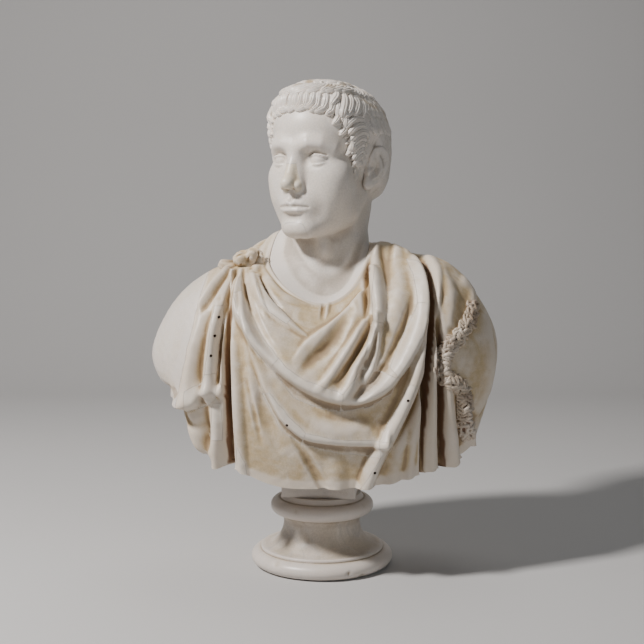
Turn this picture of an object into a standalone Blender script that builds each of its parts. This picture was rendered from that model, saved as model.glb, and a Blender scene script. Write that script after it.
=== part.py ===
"""A life-size draped marble bust on a turned socle, as a restorer would take it apart.

Metres, +Z up. The origin is the centre of the socle's underside, the front looks along -Y and the
sitter's right is towards -X. Lists of design points are in millimetres, x across and z above the seat
of the bust, drawn on a block that reaches DRAWN_REACHES to the sitter's right and left; to_metres() and
to_design() stretch them with the block.
"""

import math
from collections import namedtuple

import bpy
import numpy as np
from mathutils import Vector
from mathutils.bvhtree import BVHTree

MM = 0.001
DRAWN_REACHES = (262, 271)

# Fits
CLEARANCE = 0.0003
NECK_BED = 0.0009

# Socle, turned
SOCLE_HEIGHT = 0.113
FOOT_RADIUS = 0.111
FOOT_ROLL_HEIGHT = 0.025
FOOT_ROLL_DEPTH = 0.015
FILLET_HEIGHT = 0.005
FILLET_STEP = 0.003
WAIST_RADIUS = 0.060
WAIST_LEVEL = 0.068
CAP_RADIUS = 0.081
CAP_ROLL_HEIGHT = 0.024
CAP_ROLL_DEPTH = 0.013
TOP_RING_RADIUS = 0.062
TOP_RING_HEIGHT = 0.008

# Tablet between socle and bust
TABLET_WIDTH = 0.114
TABLET_DEPTH = 0.100
TABLET_HEIGHT = 0.021
TABLET_TURN = math.radians(-7.0)
TABLET_EDGE = 0.0012

# Back pillar, carved in one with the torso
PILLAR_WIDTH = 0.096
PILLAR_DEPTH = 0.084

# Torso block: how far it reaches from the dowel's axis
CHEST_REACH = 0.150
BACK_REACH = 0.118
RIGHT_REACH = 0.262
LEFT_REACH = 0.271
FRONT_WALL = 0.044
SIDE_WALL = 0.075
BACK_WALL = 0.030
HOLLOW_TOP = 0.200
SOCKET_FLOOR = 0.236
SOCKET_FLOOR_RADIUS = 0.030
PLAN_POWER = 2.3

# Section curves of the bare torso: share of the reach, and height above the seat in metres
FRONT_SECTION = [(0.56, 0.280), (0.75, 0.262), (0.92, 0.222), (1.00, 0.160), (1.00, 0.085), (0.93, 0.010)]
RIGHT_SECTION = [(0.31, 0.338), (0.48, 0.338), (0.69, 0.320), (0.89, 0.270), (1.00, 0.195), (0.86, 0.132)]
LEFT_SECTION = [(0.27, 0.354), (0.46, 0.350), (0.71, 0.338), (0.91, 0.277), (1.00, 0.200), (0.88, 0.060)]
BACK_SECTION = [(0.53, 0.382), (0.75, 0.368), (0.90, 0.336), (0.98, 0.296), (1.00, 0.245), (0.92, 0.188)]

# Cloth drawn up round the neck: degrees from the front, width in degrees, and rise in metres
COLLAR_RISES = [(-122, 24, 0.024), (72, 30, 0.014)]

# Head, turned to the sitter's right
HEAD_TURN = math.radians(-33.0)
HEAD_X = 0.008
HEAD_Y = 0.002
EYE_HEIGHT = 0.492
FAN_DROP = 0.027
HEAD_FAR = 0.190
EAR_FAR = 0.050
COLLAR_SHARE = 0.25
HAIR_THICKNESS = 0.010
FRINGE_THICKNESS = 0.004

# Metal dowels and pins
SOCLE_DOWEL_RADIUS = 0.009
SOCLE_DOWEL_IN_SOCLE = 0.060
SOCLE_DOWEL_IN_BUST = 0.060
NECK_DOWEL_RADIUS = 0.008
NECK_DOWEL_HALF = 0.040
ARM_DOWEL_RADIUS = 0.007
ARM_DOWEL_HALF = 0.032
FACE_PIN_RADIUS = 0.002
FACE_PIN_HALF = 0.007
KNOT_PIN_RADIUS = 0.0025
KNOT_PIN_HALF = 0.014
KNOT_FOOT = 0.010
FOLD_PIN_RADIUS = 0.0019
FOLD_PIN_ANCHORAGE = 0.012
FOLD_PIN_RECESS = 0.001

# Inset patches
PATCH_DEPTH = 0.010
PATCH_DEEPEST = 0.030
CUT_FRONT = -0.260
CUT_BACK = 0.200

# Facets
TORSO_COLUMNS = 68
TORSO_ROWS = 23
HEAD_COLUMNS = 43
NECK_ROWS = 5
HEAD_ROWS = 25
TURNED_SIDES = 28
ROD_SIDES = 12
EAR_COLUMNS = 14
EAR_ROWS = 9
KNOT_COLUMNS = 16
KNOT_ROWS = 8
LEAST_FOLD_WIDTH = 12
CROWDED_COLUMNS = (-46, 0, 53)
FRONT_ARC = 95.0
CLEFT_MATCH = 4.0
LEAST_CLEFT_STEP = 6.0

TABLET_BOTTOM = SOCLE_HEIGHT + CLEARANCE
SEAT = TABLET_BOTTOM + TABLET_HEIGHT + CLEARANCE
HEAD_PLACE = np.array([HEAD_X, HEAD_Y, SEAT + EYE_HEIGHT])

# Folds of the cloak and tunic, in millimetres.
# A ridge is a rounded fold along a path, and left and right stretch its two flanks as seen along the path.
# A cleft is a deep gap between folds. A lip is the rounded edge of an upper layer of cloth, which lies on
# the left of its path and falls off over reach. Widths, heights and reaches run evenly from the start of
# the path to its end.
Ridge = namedtuple("Ridge", "path width height left right power")
Lip = namedtuple("Lip", "path height reach round")


def ridge(path, width, height, left=1.0, right=1.0, power=1.2):
    return Ridge(path, width, height, left, right, power)


def cleft(path, width, depth):
    return Ridge(path, width, tuple(-d for d in depth), 1.0, 1.0, 1.3)


def lip(path, height, reach, around):
    return Lip(path, height, reach, around)


FOLDS = {
    "cloak_lip": lip(
        [(-137, 322), (-133, 292), (-124, 262), (-96, 218), (-47, 170), (1, 145), (35, 138), (69, 143),
         (102, 165), (136, 217), (151, 256), (157, 287), (157, 315), (148, 340), (133, 350), (111, 355)],
        (7, 11, 14, 17, 18, 18, 15, 12, 9, 8, 5), (10, 12, 16, 28, 40, 34, 18, 15, 14, 14, 14),
        (6, 7, 9, 10, 11, 10, 9, 8, 7, 7, 7)),
    "swag_lip": lip(
        [(-119, 290), (-112, 253), (-101, 210), (-86, 169), (-77, 150), (-60, 119), (-37, 97), (-16, 87),
         (26, 81), (90, 76)],
        (3, 5, 8, 11, 12, 11, 9), (7, 9, 13, 20, 26, 24, 16), (4, 5, 6, 7, 7, 7, 7)),
    "strip": ridge(
        [(153, 256), (148, 224), (133, 172), (117, 135), (100, 100), (85, 71), (74, 41), (64, 5)],
        (7, 9, 10, 11, 11), (3, 11, 14, 13, 12), right=1.5, power=1.1),
    "lapel": ridge([(76, 356), (82, 340), (84, 308), (84, 283), (83, 260)],
                   (9, 10, 11, 11, 9), (8, 11, 12, 12, 7)),
    "lapel_foot": ridge([(80, 262), (78, 232), (70, 201), (60, 176)], (8, 9, 9, 7), (9, 8, 7, 2)),
    "chest_ridge_high": ridge([(67, 263), (47, 233), (29, 208), (12, 185), (-6, 166)],
                              (4, 8, 10, 9, 7), (3, 9, 9, 6, 1)),
    "chest_ridge_low": ridge([(78, 249), (63, 219), (50, 198), (37, 171), (27, 154)],
                             (4, 8, 9, 9, 8), (3, 9, 9, 6, 2)),
    "chest_valley": ridge([(43, 271), (16, 233), (-15, 202), (-34, 185)],
                          (10, 14, 13, 8), (-2, -7, -5, 0), power=1.6),
    "crossing": lip(
        [(69, 326), (62, 304), (53, 292), (35, 274), (14, 257), (-10, 242), (-26, 230), (-39, 209)],
        (9, 8, 8, 8, 7, 6, 4, 1), (16, 20, 24, 26, 22, 16, 12, 8), (4, 5, 5, 5, 4, 3)),
    "neck_band": ridge([(-100, 314), (-81, 284), (-58, 264), (-38, 249), (-22, 238)], (12, 12, 9, 6, 3),
                       (4, 6, 6, 5, 2)),
    "roll_valley": ridge([(-113, 308), (-100, 267), (-81, 233), (-56, 205)],
                         (7, 9, 9, 7), (-4, -7, -6, -1), power=1.5),
    "right_valley": ridge([(80, 188), (95, 201), (113, 235), (128, 271), (135, 301)], (8, 10, 11, 10, 8),
                          (-2, -6, -7, -5, -1), power=1.5),
    "low_valley": ridge([(40, 148), (63, 170), (80, 184), (89, 195)],
                        (7, 10, 10, 7), (-2, -9, -9, -3), power=1.5),
    "panel_pipe": ridge([(-128, 226), (-124, 168), (-120, 110), (-114, 20)], (8, 10, 10, 10), (2, 5, 5, 4)),
    "panel_crease": ridge([(-42, 92), (-23, 60), (0, 12)], (7, 11, 10), (-1, -6, -5), right=0.7, power=1.5),
    "panel_right": ridge([(120, 96), (110, 60), (100, 10)], (12, 15, 14), (1, 5, 5), power=1.8),
    "strip_flute": ridge([(150, 190), (141, 140), (132, 88), (126, 5)], (6, 9, 10), (2, 6, 5), power=1.4),
    "cleft_right": cleft([(-127, 324), (-131, 289), (-137, 245), (-137, 186), (-135, 116), (-133, 0)],
                         (6, 8, 9, 9, 9, 9), (8, 20, 30, 32, 32, 32)),
    "cleft_flute": cleft([(-130, 322), (-139, 287), (-146, 244), (-149, 209), (-151, 170)], (4, 6, 6, 6, 5),
                         (5, 12, 18, 18, 10)),
    "hanging_inner": ridge([(-150, 280), (-157, 231), (-161, 188), (-162, 146)], (6, 8, 9, 9), (3, 8, 9, 9)),
    "hanging_outer": ridge([(-171, 268), (-182, 222), (-189, 178), (-194, 136)],
                           (7, 9, 10, 10), (2, 5, 6, 6)),
    "hanging_tail": ridge([(-156, 144), (-153, 100), (-152, 10)], (8, 9, 9), (3, 10, 10)),
    "hem_outer": lip(
        [(-216, 129), (-193, 133), (-181, 136), (-174, 145), (-169, 151), (-154, 152), (-146, 150)],
        (10, 11, 11, 9, 8), (16, 14, 12, 14), (3, 3)),
    "hem_second": lip([(-201, 107), (-184, 93), (-169, 76)], (8, 9, 6), (12, 12), (3, 3)),
    "shoulder_fold": ridge([(-142, 328), (-161, 302), (-178, 274)], (5, 7, 5), (4, 6, 4)),
    "arm_edge": lip(
        [(-147, 328), (-163, 307), (-179, 281), (-182, 255), (-190, 220), (-198, 182), (-206, 148),
         (-210, 126)],
        (3, 6, 7, 8, 9), (34, 34), (3, 4, 4)),
    "cleft_left": cleft(
        [(151, 347), (158, 326), (161, 286), (158, 238), (153, 196), (149, 145), (147, 86), (147, 0)],
        (7, 9, 10, 10, 8, 6, 5, 5), (10, 26, 34, 34, 30, 22, 16, 12)),
    "cleft_second": cleft([(167, 290), (170, 252), (172, 214), (173, 166), (175, 99), (183, 0)],
                          (4, 7, 9, 9, 9, 9), (3, 20, 30, 30, 28, 26)),
    "arm_fold": ridge([(155, 347), (169, 339), (170, 308), (167, 265)], (9, 9, 7, 5), (6, 8, 6, 2)),
    "arm_panel": ridge([(185, 163), (190, 100), (202, 10)], (8, 10, 10), (3, 8, 8)),
    "arm_panel_outer": ridge([(207, 146), (216, 93), (233, 35)], (6, 8, 8), (2, 6, 6)),
    "fringe": ridge(
        [(215, 312), (226, 296), (224, 276), (218, 259), (208, 245), (195, 233), (184, 221), (177, 204),
         (173, 187), (180, 174), (194, 168), (205, 155), (210, 137), (209, 116), (214, 93), (222, 72)],
        (9, 10, 9), (7, 8, 8)),
    "cloak_top": ridge([(78, 356), (102, 356), (126, 352)], (14, 16, 12), (5, 7, 5)),
    "cloak_fall": ridge([(112, 342), (112, 301), (104, 253)], (12, 18, 14), (2, 5, 2), power=2.0),
}

# Clefts that the columns of the torso's skin follow, from the sitter's right to the left
DEEP_CLEFTS = ("cleft_right", "cleft_left", "cleft_second")

# Outlines of the inset patches, seen from the front
PATCHES = {
    "roll_left": [(-114, 302), (-106, 274), (-87, 239), (-62, 210), (-72, 197), (-98, 227), (-119, 268),
                  (-129, 299)],
    "roll_centre": [(-62, 210), (-49, 196), (-23, 179), (30, 160), (26, 134), (-5, 140), (-39, 156),
                    (-72, 197)],
    "roll_right": [(56, 193), (78, 190), (112, 180), (98, 158), (69, 141), (26, 134), (30, 160)],
    "roll_upper": [(97, 196), (118, 239), (139, 285), (158, 285), (145, 230), (126, 195), (112, 180)],
    "shoulder_roll": [(126, 345), (135, 326), (139, 285), (158, 285), (158, 324), (144, 343)],
    "lapel_upper": [(78, 340), (88, 338), (95, 296), (96, 275), (89, 257), (73, 262), (72, 299)],
    "lapel_lower": [(73, 262), (89, 257), (85, 229), (78, 190), (56, 193), (65, 231)],
    "swag_left": [(-86, 157), (-75, 160), (-46, 125), (-23, 103), (-28, 88), (-55, 107)],
    "swag_bottom": [(-23, 103), (26, 93), (82, 90), (84, 67), (26, 73), (-28, 88)],
    "swag_strip_upper": [(125, 172), (139, 167), (111, 90), (82, 90)],
    "swag_strip_lower": [(82, 90), (111, 90), (87, 45), (76, 18), (56, 18), (84, 67)],
    "neckline_patch": [(-97, 313), (-86, 308), (-67, 282), (-45, 262), (-51, 255), (-75, 271), (-90, 291)],
    "corner_patch": [(-123, 76), (-112, 54), (-106, 0), (-130, 0), (-128, 42)],
    "hanging_strip": [(-157, 280), (-143, 280), (-152, 184), (-169, 184)],
    "hanging_tip_outer": [(-200, 158), (-174, 169), (-169, 184), (-152, 184), (-154, 145), (-171, 139),
                          (-200, 130)],
    "hanging_tip_inner": [(-158, 140), (-146, 140), (-144, 86), (-164, 86)],
}

# The arm stump comes off along the hem of the cloak
ARM_OUTLINE = [(-320, 400), (-176, 400), (-172, 330), (-184, 280), (-190, 248), (-198, 214), (-206, 180),
               (-212, 150), (-214, 40), (-320, 40)]

ARM_DOWEL_PLACE = (-192, 240)

# Places of the pins that show in the folds, with the patch that each one holds
FOLD_PINS = {
    "strip_pin_upper": ("swag_strip_upper", (123, 148)),
    "strip_pin_lower": ("swag_strip_lower", (76, 43)),
    "swag_pin": ("swag_left", (-50, 114)),
    "hanging_pin_upper": ("hanging_strip", (-150, 264)),
    "hanging_pin_middle": ("hanging_strip", (-155, 238)),
    "hanging_pin_lower": ("hanging_strip", (-160, 210)),
}


# Points and curves

def spline(points, share):
    """Catmull-Rom curve through the points, at shares from 0 to 1 of its length in points."""
    points = np.asarray(points, float)
    spans = len(points) - 1
    place = np.clip(np.asarray(share, float), 0.0, 1.0) * spans
    index = np.minimum(place.astype(int), spans - 1)
    u = (place - index)[..., None]
    padded = np.vstack([2 * points[0] - points[1], points, 2 * points[-1] - points[-2]])
    a, b, c, d = (padded[index + k] for k in range(4))
    return 0.5 * (2 * b + (c - a) * u + (2 * a - 5 * b + 4 * c - d) * u**2 + (3 * b - a - 3 * c + d) * u**3)


def ease(low, high, value):
    u = np.clip((value - low) / (high - low), 0.0, 1.0)
    return u * u * (3.0 - 2.0 * u)


def spread(count, centres, width, gain):
    """Angles round the axis, closer together near the centres."""
    fine = np.linspace(-math.pi, math.pi, 2001)
    density = np.ones_like(fine)
    for centre in centres:
        away = np.abs((fine - centre + math.pi) % (2 * math.pi) - math.pi)
        density += gain * np.exp(-((away / width) ** 2))
    total = np.concatenate([[0.0], np.cumsum(0.5 * (density[1:] + density[:-1]))])
    return np.interp(np.arange(count) / count, total / total[-1], fine)


def stretch(x):
    """How much wider the block is on the side of x than the one that the design points were drawn on."""
    right, left = DRAWN_REACHES
    return np.where(x < 0, RIGHT_REACH / (right * MM), LEFT_REACH / (left * MM))


def to_design(points):
    """Design coordinates x and z in millimetres of points of the bust."""
    x = points[..., 0] / stretch(points[..., 0]) / MM
    return x, (points[..., 2] - SEAT) / MM


def to_metres(outline):
    return [(x * float(stretch(x)) * MM, SEAT + z * MM) for x, z in outline]


# Cloth relief

def along(x, z, path):
    """Share along a path and signed distance from it, positive on the left of its direction."""
    curve = spline(path, np.linspace(0.0, 1.0, 12 * len(path)))
    length = np.concatenate([[0.0], np.cumsum(np.hypot(*np.diff(curve, axis=0).T))])
    nearest = np.full(x.shape, np.inf)
    share = np.zeros(x.shape)
    side = np.ones(x.shape)
    for i, (start, end) in enumerate(zip(curve[:-1], curve[1:])):
        step = end - start
        u = np.clip(((x - start[0]) * step[0] + (z - start[1]) * step[1]) / (step @ step), 0.0, 1.0)
        dx = x - start[0] - u * step[0]
        dz = z - start[1] - u * step[1]
        square = dx * dx + dz * dz
        closer = square < nearest
        nearest = np.where(closer, square, nearest)
        share = np.where(closer, (length[i] + u * (length[i + 1] - length[i])) / length[-1], share)
        side = np.where(closer, np.sign(step[0] * dz - step[1] * dx), side)
    return share, side * np.sqrt(nearest)


def run(values, share):
    """Value at a share of the way through an even list."""
    return np.interp(share, np.linspace(0.0, 1.0, len(values)), values)


def fold_relief(fold, x, z):
    """Height in millimetres that one fold adds at x, z; folds finer than the skin's grid are drawn wider."""
    share, distance = along(x, z, fold.path)
    height = run(fold.height, share)
    if isinstance(fold, Lip):
        around = np.maximum(run(fold.round, share), 0.5 * LEAST_FOLD_WIDTH)
        climb = np.clip((distance + 0.4 * around) / (1.4 * around), 0.0, 1.0)
        fall = np.maximum(distance - around, 0.0) / run(fold.reach, share)
        return height * np.sin(0.5 * math.pi * climb) ** 1.3 * np.exp(-(fall**2))
    drawn = run(fold.width, share)
    width = np.maximum(drawn, LEAST_FOLD_WIDTH)
    height = height * np.sqrt(drawn / width)
    q = distance / (width * np.where(distance > 0, fold.left, fold.right))
    return height * np.clip(1.0 - q * q, 0.0, 1.0) ** fold.power


def cloth_relief(points):
    """Height in metres of all folds together over points of the bare torso."""
    x, z = to_design(points)
    return MM * sum(fold_relief(fold, x, z) for fold in FOLDS.values())


# Torso block

def bare_torso(angle, share):
    """Point of the undraped torso: four section curves lofted round the axis on a superellipse plan."""
    c = np.cos(angle)
    s = np.sin(angle)
    ahead = (c > 0)[..., None]
    leftwards = (s > 0)[..., None]
    fore = np.where(ahead, spline(FRONT_SECTION, share), spline(BACK_SECTION, share))
    flank = np.where(leftwards, spline(LEFT_SECTION, share), spline(RIGHT_SECTION, share))
    fore_reach = fore[..., 0] * np.where(c > 0, CHEST_REACH, BACK_REACH)
    flank_reach = flank[..., 0] * np.where(s > 0, LEFT_REACH, RIGHT_REACH)
    bend = np.where(c > 0, 2.0 + 2.0 * share**2, 5.0 - 2.5 * share)
    weight = np.abs(s) ** bend
    height = fore[..., 1] * (1.0 - weight) + flank[..., 1] * weight
    for middle, width, rise in COLLAR_RISES:
        away = np.degrees(np.angle(np.exp(1j * (angle - math.radians(middle))))) / width
        height = height + rise * np.exp(-(away**2)) * (1.0 - share) ** 5
    plan = (np.abs(c) / fore_reach) ** PLAN_POWER + (np.abs(s) / flank_reach) ** PLAN_POWER
    radius = plan ** (-1.0 / PLAN_POWER)
    return np.stack([radius * s, -radius * c, SEAT + height], -1)


def outward(points):
    """Unit normals of a closed ring grid whose rows run down the outside."""
    wide = np.concatenate([points[:, -1:], points, points[:, :1]], axis=1)
    across = 0.5 * (wide[:, 2:] - wide[:, :-2])
    down = np.gradient(points, axis=0)
    normal = np.cross(down, across)
    return normal / np.linalg.norm(normal, axis=-1, keepdims=True)


def soften(grid):
    """Grid of closed rings with every inner point drawn half way to the mean of its four neighbours."""
    beside = np.roll(grid, 1, axis=1) + np.roll(grid, -1, axis=1)
    mean = 0.25 * (beside[1:-1] + grid[2:] + grid[:-2])
    return np.concatenate([grid[:1], 0.5 * (grid[1:-1] + mean), grid[-1:]])


def follow_clefts(angles, shares):
    """Angles of every row, drawn aside so that the same columns run down the deep clefts; above and below a
    cleft its columns hold on at the angle of its end."""
    fine = np.radians(np.linspace(-FRONT_ARC, FRONT_ARC, 600))
    across, height = to_design(bare_torso(*np.meshgrid(fine, shares)))
    order = np.arange(len(shares))
    turns = []
    for name in DEEP_CLEFTS:
        path = spline(FOLDS[name].path, np.linspace(0.0, 1.0, 80))[::-1]
        off = np.abs(across - np.interp(height, path[:, 1], path[:, 0]))
        best = np.argmin(off, axis=1)
        at = height[order, best]
        met = (off[order, best] < CLEFT_MATCH) & (at > path[0, 1]) & (at < path[-1, 1])
        turns.append(np.interp(order, order[met], fine[best[met]]))
    turns = np.array(turns).T
    turns[:, 1] = np.minimum(turns[:, 1], turns[:, 2] - math.radians(LEAST_CLEFT_STEP))
    ends = np.radians((-180.0, -FRONT_ARC - 20.0))
    home = np.concatenate([ends, turns.mean(0), -ends[::-1]])
    return np.array([np.interp(angles, home, np.concatenate([ends, turn, -ends[::-1]])) for turn in turns])


def torso_grid():
    """Angles and shares of the torso's skin, whose columns crowd where the long clefts run down."""
    even = spread(TORSO_COLUMNS, np.radians(CROWDED_COLUMNS), 0.55, 2.2)
    shares = np.linspace(0.0, 1.0, TORSO_ROWS)
    angle = follow_clefts(even, shares)
    return angle, shares[:, None] + 0.0 * angle


def draped_skin(angle, share, inflate):
    """Outer surface from the neck opening down to the lower edge."""
    bare = bare_torso(angle, share)
    front = ease(-0.15, 0.15, np.cos(angle))
    away_from_lip = ease(0.0, 0.08, share)
    relief = cloth_relief(bare) * front * away_from_lip + inflate
    return soften(bare + outward(bare) * relief[..., None])


def socket_rows(angles, shrink):
    """Rows of the neck socket from its floor's rim up to the lip; shrink makes the tenon that fits in it."""
    lip = bare_torso(angles, np.zeros_like(angles))
    rows = []
    for turn in (0.0, 0.38, 0.70):
        rise = 1.0 - math.cos(0.5 * math.pi * turn)
        open_out = math.sin(0.5 * math.pi * turn)
        radius = np.hypot(lip[:, 0], lip[:, 1])
        scale = (SOCKET_FLOOR_RADIUS + (radius - SOCKET_FLOOR_RADIUS) * open_out - shrink) / radius
        height = SEAT + SOCKET_FLOOR + shrink
        height = height + (lip[:, 2] - height) * rise
        rows.append(np.stack([lip[:, 0] * scale, lip[:, 1] * scale, height], -1))
    edge = 1.0 - shrink / np.hypot(lip[:, 0], lip[:, 1])
    rows.append(np.stack([lip[:, 0] * edge, lip[:, 1] * edge, lip[:, 2]], -1))
    return rows


def hollow_rows(angles, rim):
    """Rows of the hollow back, from the lower edge's inner line up to its ceiling."""
    wall = np.where(np.cos(angles) > 0, FRONT_WALL, BACK_WALL)
    wall = wall + (SIDE_WALL - wall) * np.sin(angles) ** 2
    radius = np.hypot(rim[:, 0], rim[:, 1])
    ceiling = SEAT + HOLLOW_TOP
    rows = []
    for turn in (0.0, 0.30, 0.60, 0.85):
        scale = (radius - wall) / radius * math.cos(0.5 * math.pi * turn) ** 0.8
        height = rim[:, 2] + (ceiling - rim[:, 2]) * math.sin(0.5 * math.pi * turn)
        rows.append(np.stack([rim[:, 0] * scale, rim[:, 1] * scale, height], -1))
    return rows


def torso_mesh(inflate=0.0):
    """Closed skin of the torso block: socket, draped outside, lower edge and hollow back."""
    angle, share = torso_grid()
    outside = draped_skin(angle, share, inflate)
    bare_rim = bare_torso(angle[-1], share[-1])
    rows = socket_rows(angle[0], 0.0)[:-1] + list(outside) + hollow_rows(angle[-1], bare_rim)
    floor = (0.0, 0.0, SEAT + SOCKET_FLOOR)
    ceiling = (0.0, 0.0, SEAT + HOLLOW_TOP)
    return ring_skin(rows, floor, ceiling, rising=False)


# Head, a smooth union of plain volumes in its own frame: eyes at z = 0, face towards -y

def ellipsoid(p, centre, radii):
    q = p - np.array(centre)
    radii = np.array(radii)
    near = np.linalg.norm(q / radii, axis=-1)
    slope = np.linalg.norm(q / radii**2, axis=-1)
    return near * (near - 1.0) / (slope + 1e-9)


def chain(p, points, radii):
    """Tapered round bars end to end."""
    least = np.full(p.shape[:-1], np.inf)
    for a, b, ra, rb in zip(points[:-1], points[1:], radii[:-1], radii[1:]):
        a = np.array(a)
        bar = np.array(b) - a
        u = np.clip(((p - a) @ bar) / (bar @ bar), 0.0, 1.0)
        least = np.minimum(least, np.linalg.norm(p - a - u[..., None] * bar, axis=-1) - (ra + (rb - ra) * u))
    return least


def join(a, b, blend):
    h = np.clip(0.5 + 0.5 * (b - a) / blend, 0.0, 1.0)
    return b * (1.0 - h) + a * h - blend * h * (1.0 - h)


def carve(a, b, blend):
    return -join(-a, b, blend)


def skull(p, q):
    """Cranium, face mass, cheekbones, jaw and chin; q is p mirrored to one side."""
    d = ellipsoid(p, (0, 0.012, 0.030), (0.0765, 0.0965, 0.083))
    d = join(d, ellipsoid(p, (0, 0.043, -0.020), (0.059, 0.053, 0.055)), 0.030)
    d = join(d, ellipsoid(p, (0, -0.030, -0.034), (0.056, 0.0605, 0.078)), 0.022)
    d = join(d, ellipsoid(p, (0, -0.029, 0.050), (0.064, 0.061, 0.050)), 0.018)
    d = join(d, ellipsoid(q, (0.044, -0.051, -0.020), (0.021, 0.021, 0.016)), 0.022)
    d = join(d, ellipsoid(q, (0.037, -0.044, -0.050), (0.023, 0.028, 0.032)), 0.020)
    d = join(d, chain(q, [(0.049, 0.004, -0.056), (0.046, -0.012, -0.077), (0.015, -0.073, -0.0985)],
                      [0.013, 0.0145, 0.0145]), 0.020)
    return join(d, ellipsoid(p, (0, -0.0775, -0.0985), (0.0205, 0.0175, 0.0150)), 0.012)


def eyes(d, q):
    """Brow, socket, eyeball and lids."""
    d = join(d, chain(q, [(0.003, -0.0865, 0.0185), (0.022, -0.0870, 0.0230), (0.038, -0.0785, 0.0225),
                          (0.050, -0.0640, 0.0150)], [0.0072, 0.0076, 0.0072, 0.0060]), 0.012)
    d = carve(d, ellipsoid(q, (0.0315, -0.1000, 0.0015), (0.0175, 0.0205, 0.0115)), 0.010)
    d = carve(d, ellipsoid(q, (0.0160, -0.1000, -0.0010), (0.0070, 0.0160, 0.0090)), 0.008)
    d = join(d, ellipsoid(q, (0.0320, -0.0690, 0.0), (0.0130, 0.0130, 0.0130)), 0.002)
    rel = q - np.array((0.0320, -0.0690, 0.0))
    reach = np.linalg.norm(rel, axis=-1)
    upper_edge = 0.0046 - 20.0 * rel[..., 0] ** 2
    lower_edge = -0.0046 + 12.0 * rel[..., 0] ** 2
    d = join(d, np.maximum(reach - 0.0150, upper_edge - rel[..., 2]), 0.0022)
    return join(d, np.maximum(reach - 0.0146, rel[..., 2] - lower_edge), 0.0022)


def nose(d, p, q):
    d = join(d, chain(p, [(0, -0.0850, 0.0150), (0, -0.1030, -0.0260)], [0.0075, 0.0080]), 0.011)
    d = join(d, chain(q, [(0.0055, -0.0830, 0.0030), (0.0085, -0.0920, -0.0300)], [0.0060, 0.0075]), 0.009)
    d = join(d, ellipsoid(p, (0, -0.1080, -0.0340), (0.0098, 0.0105, 0.0095)), 0.007)
    d = join(d, ellipsoid(q, (0.0118, -0.0960, -0.0375), (0.0068, 0.0100, 0.0072)), 0.0035)
    return carve(d, ellipsoid(q, (0.0062, -0.1000, -0.0445), (0.0034, 0.0060, 0.0040)), 0.002)


def mouth(d, p, q):
    d = join(d, ellipsoid(p, (0, -0.0780, -0.0630), (0.0290, 0.0190, 0.0230)), 0.014)
    d = join(d, chain(q, [(0, -0.0965, -0.0637), (0.0050, -0.0968, -0.0622), (0.0140, -0.0930, -0.0640),
                          (0.0255, -0.0840, -0.0682)], [0.0044, 0.0046, 0.0040, 0.0018]), 0.0035)
    d = join(d, chain(q, [(0, -0.0948, -0.0735), (0.0090, -0.0940, -0.0732), (0.0180, -0.0890, -0.0716),
                          (0.0250, -0.0835, -0.0692)], [0.0054, 0.0054, 0.0040, 0.0016]), 0.0035)
    d = carve(d, chain(q, [(0, -0.1016, -0.0686), (0.0150, -0.0966, -0.0686), (0.0275, -0.0858, -0.0694)],
                       [0.0011, 0.0011, 0.0014]), 0.0018)
    return carve(d, ellipsoid(p, (0, -0.1010, -0.0838), (0.0170, 0.0085, 0.0048)), 0.007)


EAR_PLACE = np.array((0.0720, 0.0150, -0.0100))
EAR_MIDDLE = np.array((-0.0030, 0.0030, 0.0020))
EAR_LEAN = math.radians(14)
EAR_FLARE = math.radians(24)


def ear_axes():
    """Axes of the ear in the head's frame: out of its face, back along it and up along it."""
    out = np.array((math.cos(EAR_FLARE), -math.sin(EAR_FLARE), 0.0))
    back = np.array((math.sin(EAR_FLARE), math.cos(EAR_FLARE), 0.0))
    up = np.array((0.0, 0.0, 1.0))
    return np.array([out, back * math.cos(EAR_LEAN) - up * math.sin(EAR_LEAN),
                     up * math.cos(EAR_LEAN) + back * math.sin(EAR_LEAN)])


def ear(a):
    """Ear in its own axes: body and lobe, hollowed, with its rim."""
    d = join(ellipsoid(a, (0, 0.003, 0.003), (0.0085, 0.0185, 0.0300)),
             ellipsoid(a, (0.0015, -0.0035, -0.0255), (0.0062, 0.0085, 0.0100)), 0.006)
    d = carve(d, ellipsoid(a, (0.0105, 0.0015, -0.0040), (0.0090, 0.0115, 0.0165)), 0.0035)
    return join(d, chain(a, [(0.0020, -0.0085, 0.0020), (0.0068, -0.0075, 0.0250), (0.0072, 0.0035, 0.0310),
                             (0.0078, 0.0190, 0.0120), (0.0070, 0.0170, -0.0040), (0.0050, 0.0100, -0.0180)],
                         [0.0026, 0.0036, 0.0038, 0.0040, 0.0036, 0.0030]), 0.0025)


def ear_mesh(sign):
    """Closed skin of one ear: rays from its middle in to its volume."""
    axes = ear_axes()
    around = np.arange(EAR_COLUMNS) * 2 * math.pi / EAR_COLUMNS
    tip = np.radians(np.linspace(-80, 80, EAR_ROWS))
    level = np.cos(tip)[:, None, None] * np.stack([np.cos(around), np.sin(around), 0 * around], -1)
    direction = level + np.sin(tip)[:, None, None] * np.array((0.0, 0.0, 1.0))
    poles = np.array([[0.0, 0.0, -1.0], [0.0, 0.0, 1.0]])

    def place(rays):
        local = EAR_PLACE + carve_in(ear, EAR_MIDDLE, rays, EAR_FAR) @ axes
        return from_head_frame(local * np.array((sign, 1.0, 1.0)))

    low, high = place(poles)
    return ring_skin(list(place(direction)), low, high, rising=sign > 0)


def in_head_frame(p):
    c = math.cos(HEAD_TURN)
    s = math.sin(HEAD_TURN)
    r = p - HEAD_PLACE
    return np.stack([r[..., 0] * c + r[..., 1] * s, -r[..., 0] * s + r[..., 1] * c, r[..., 2]], -1)


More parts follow.
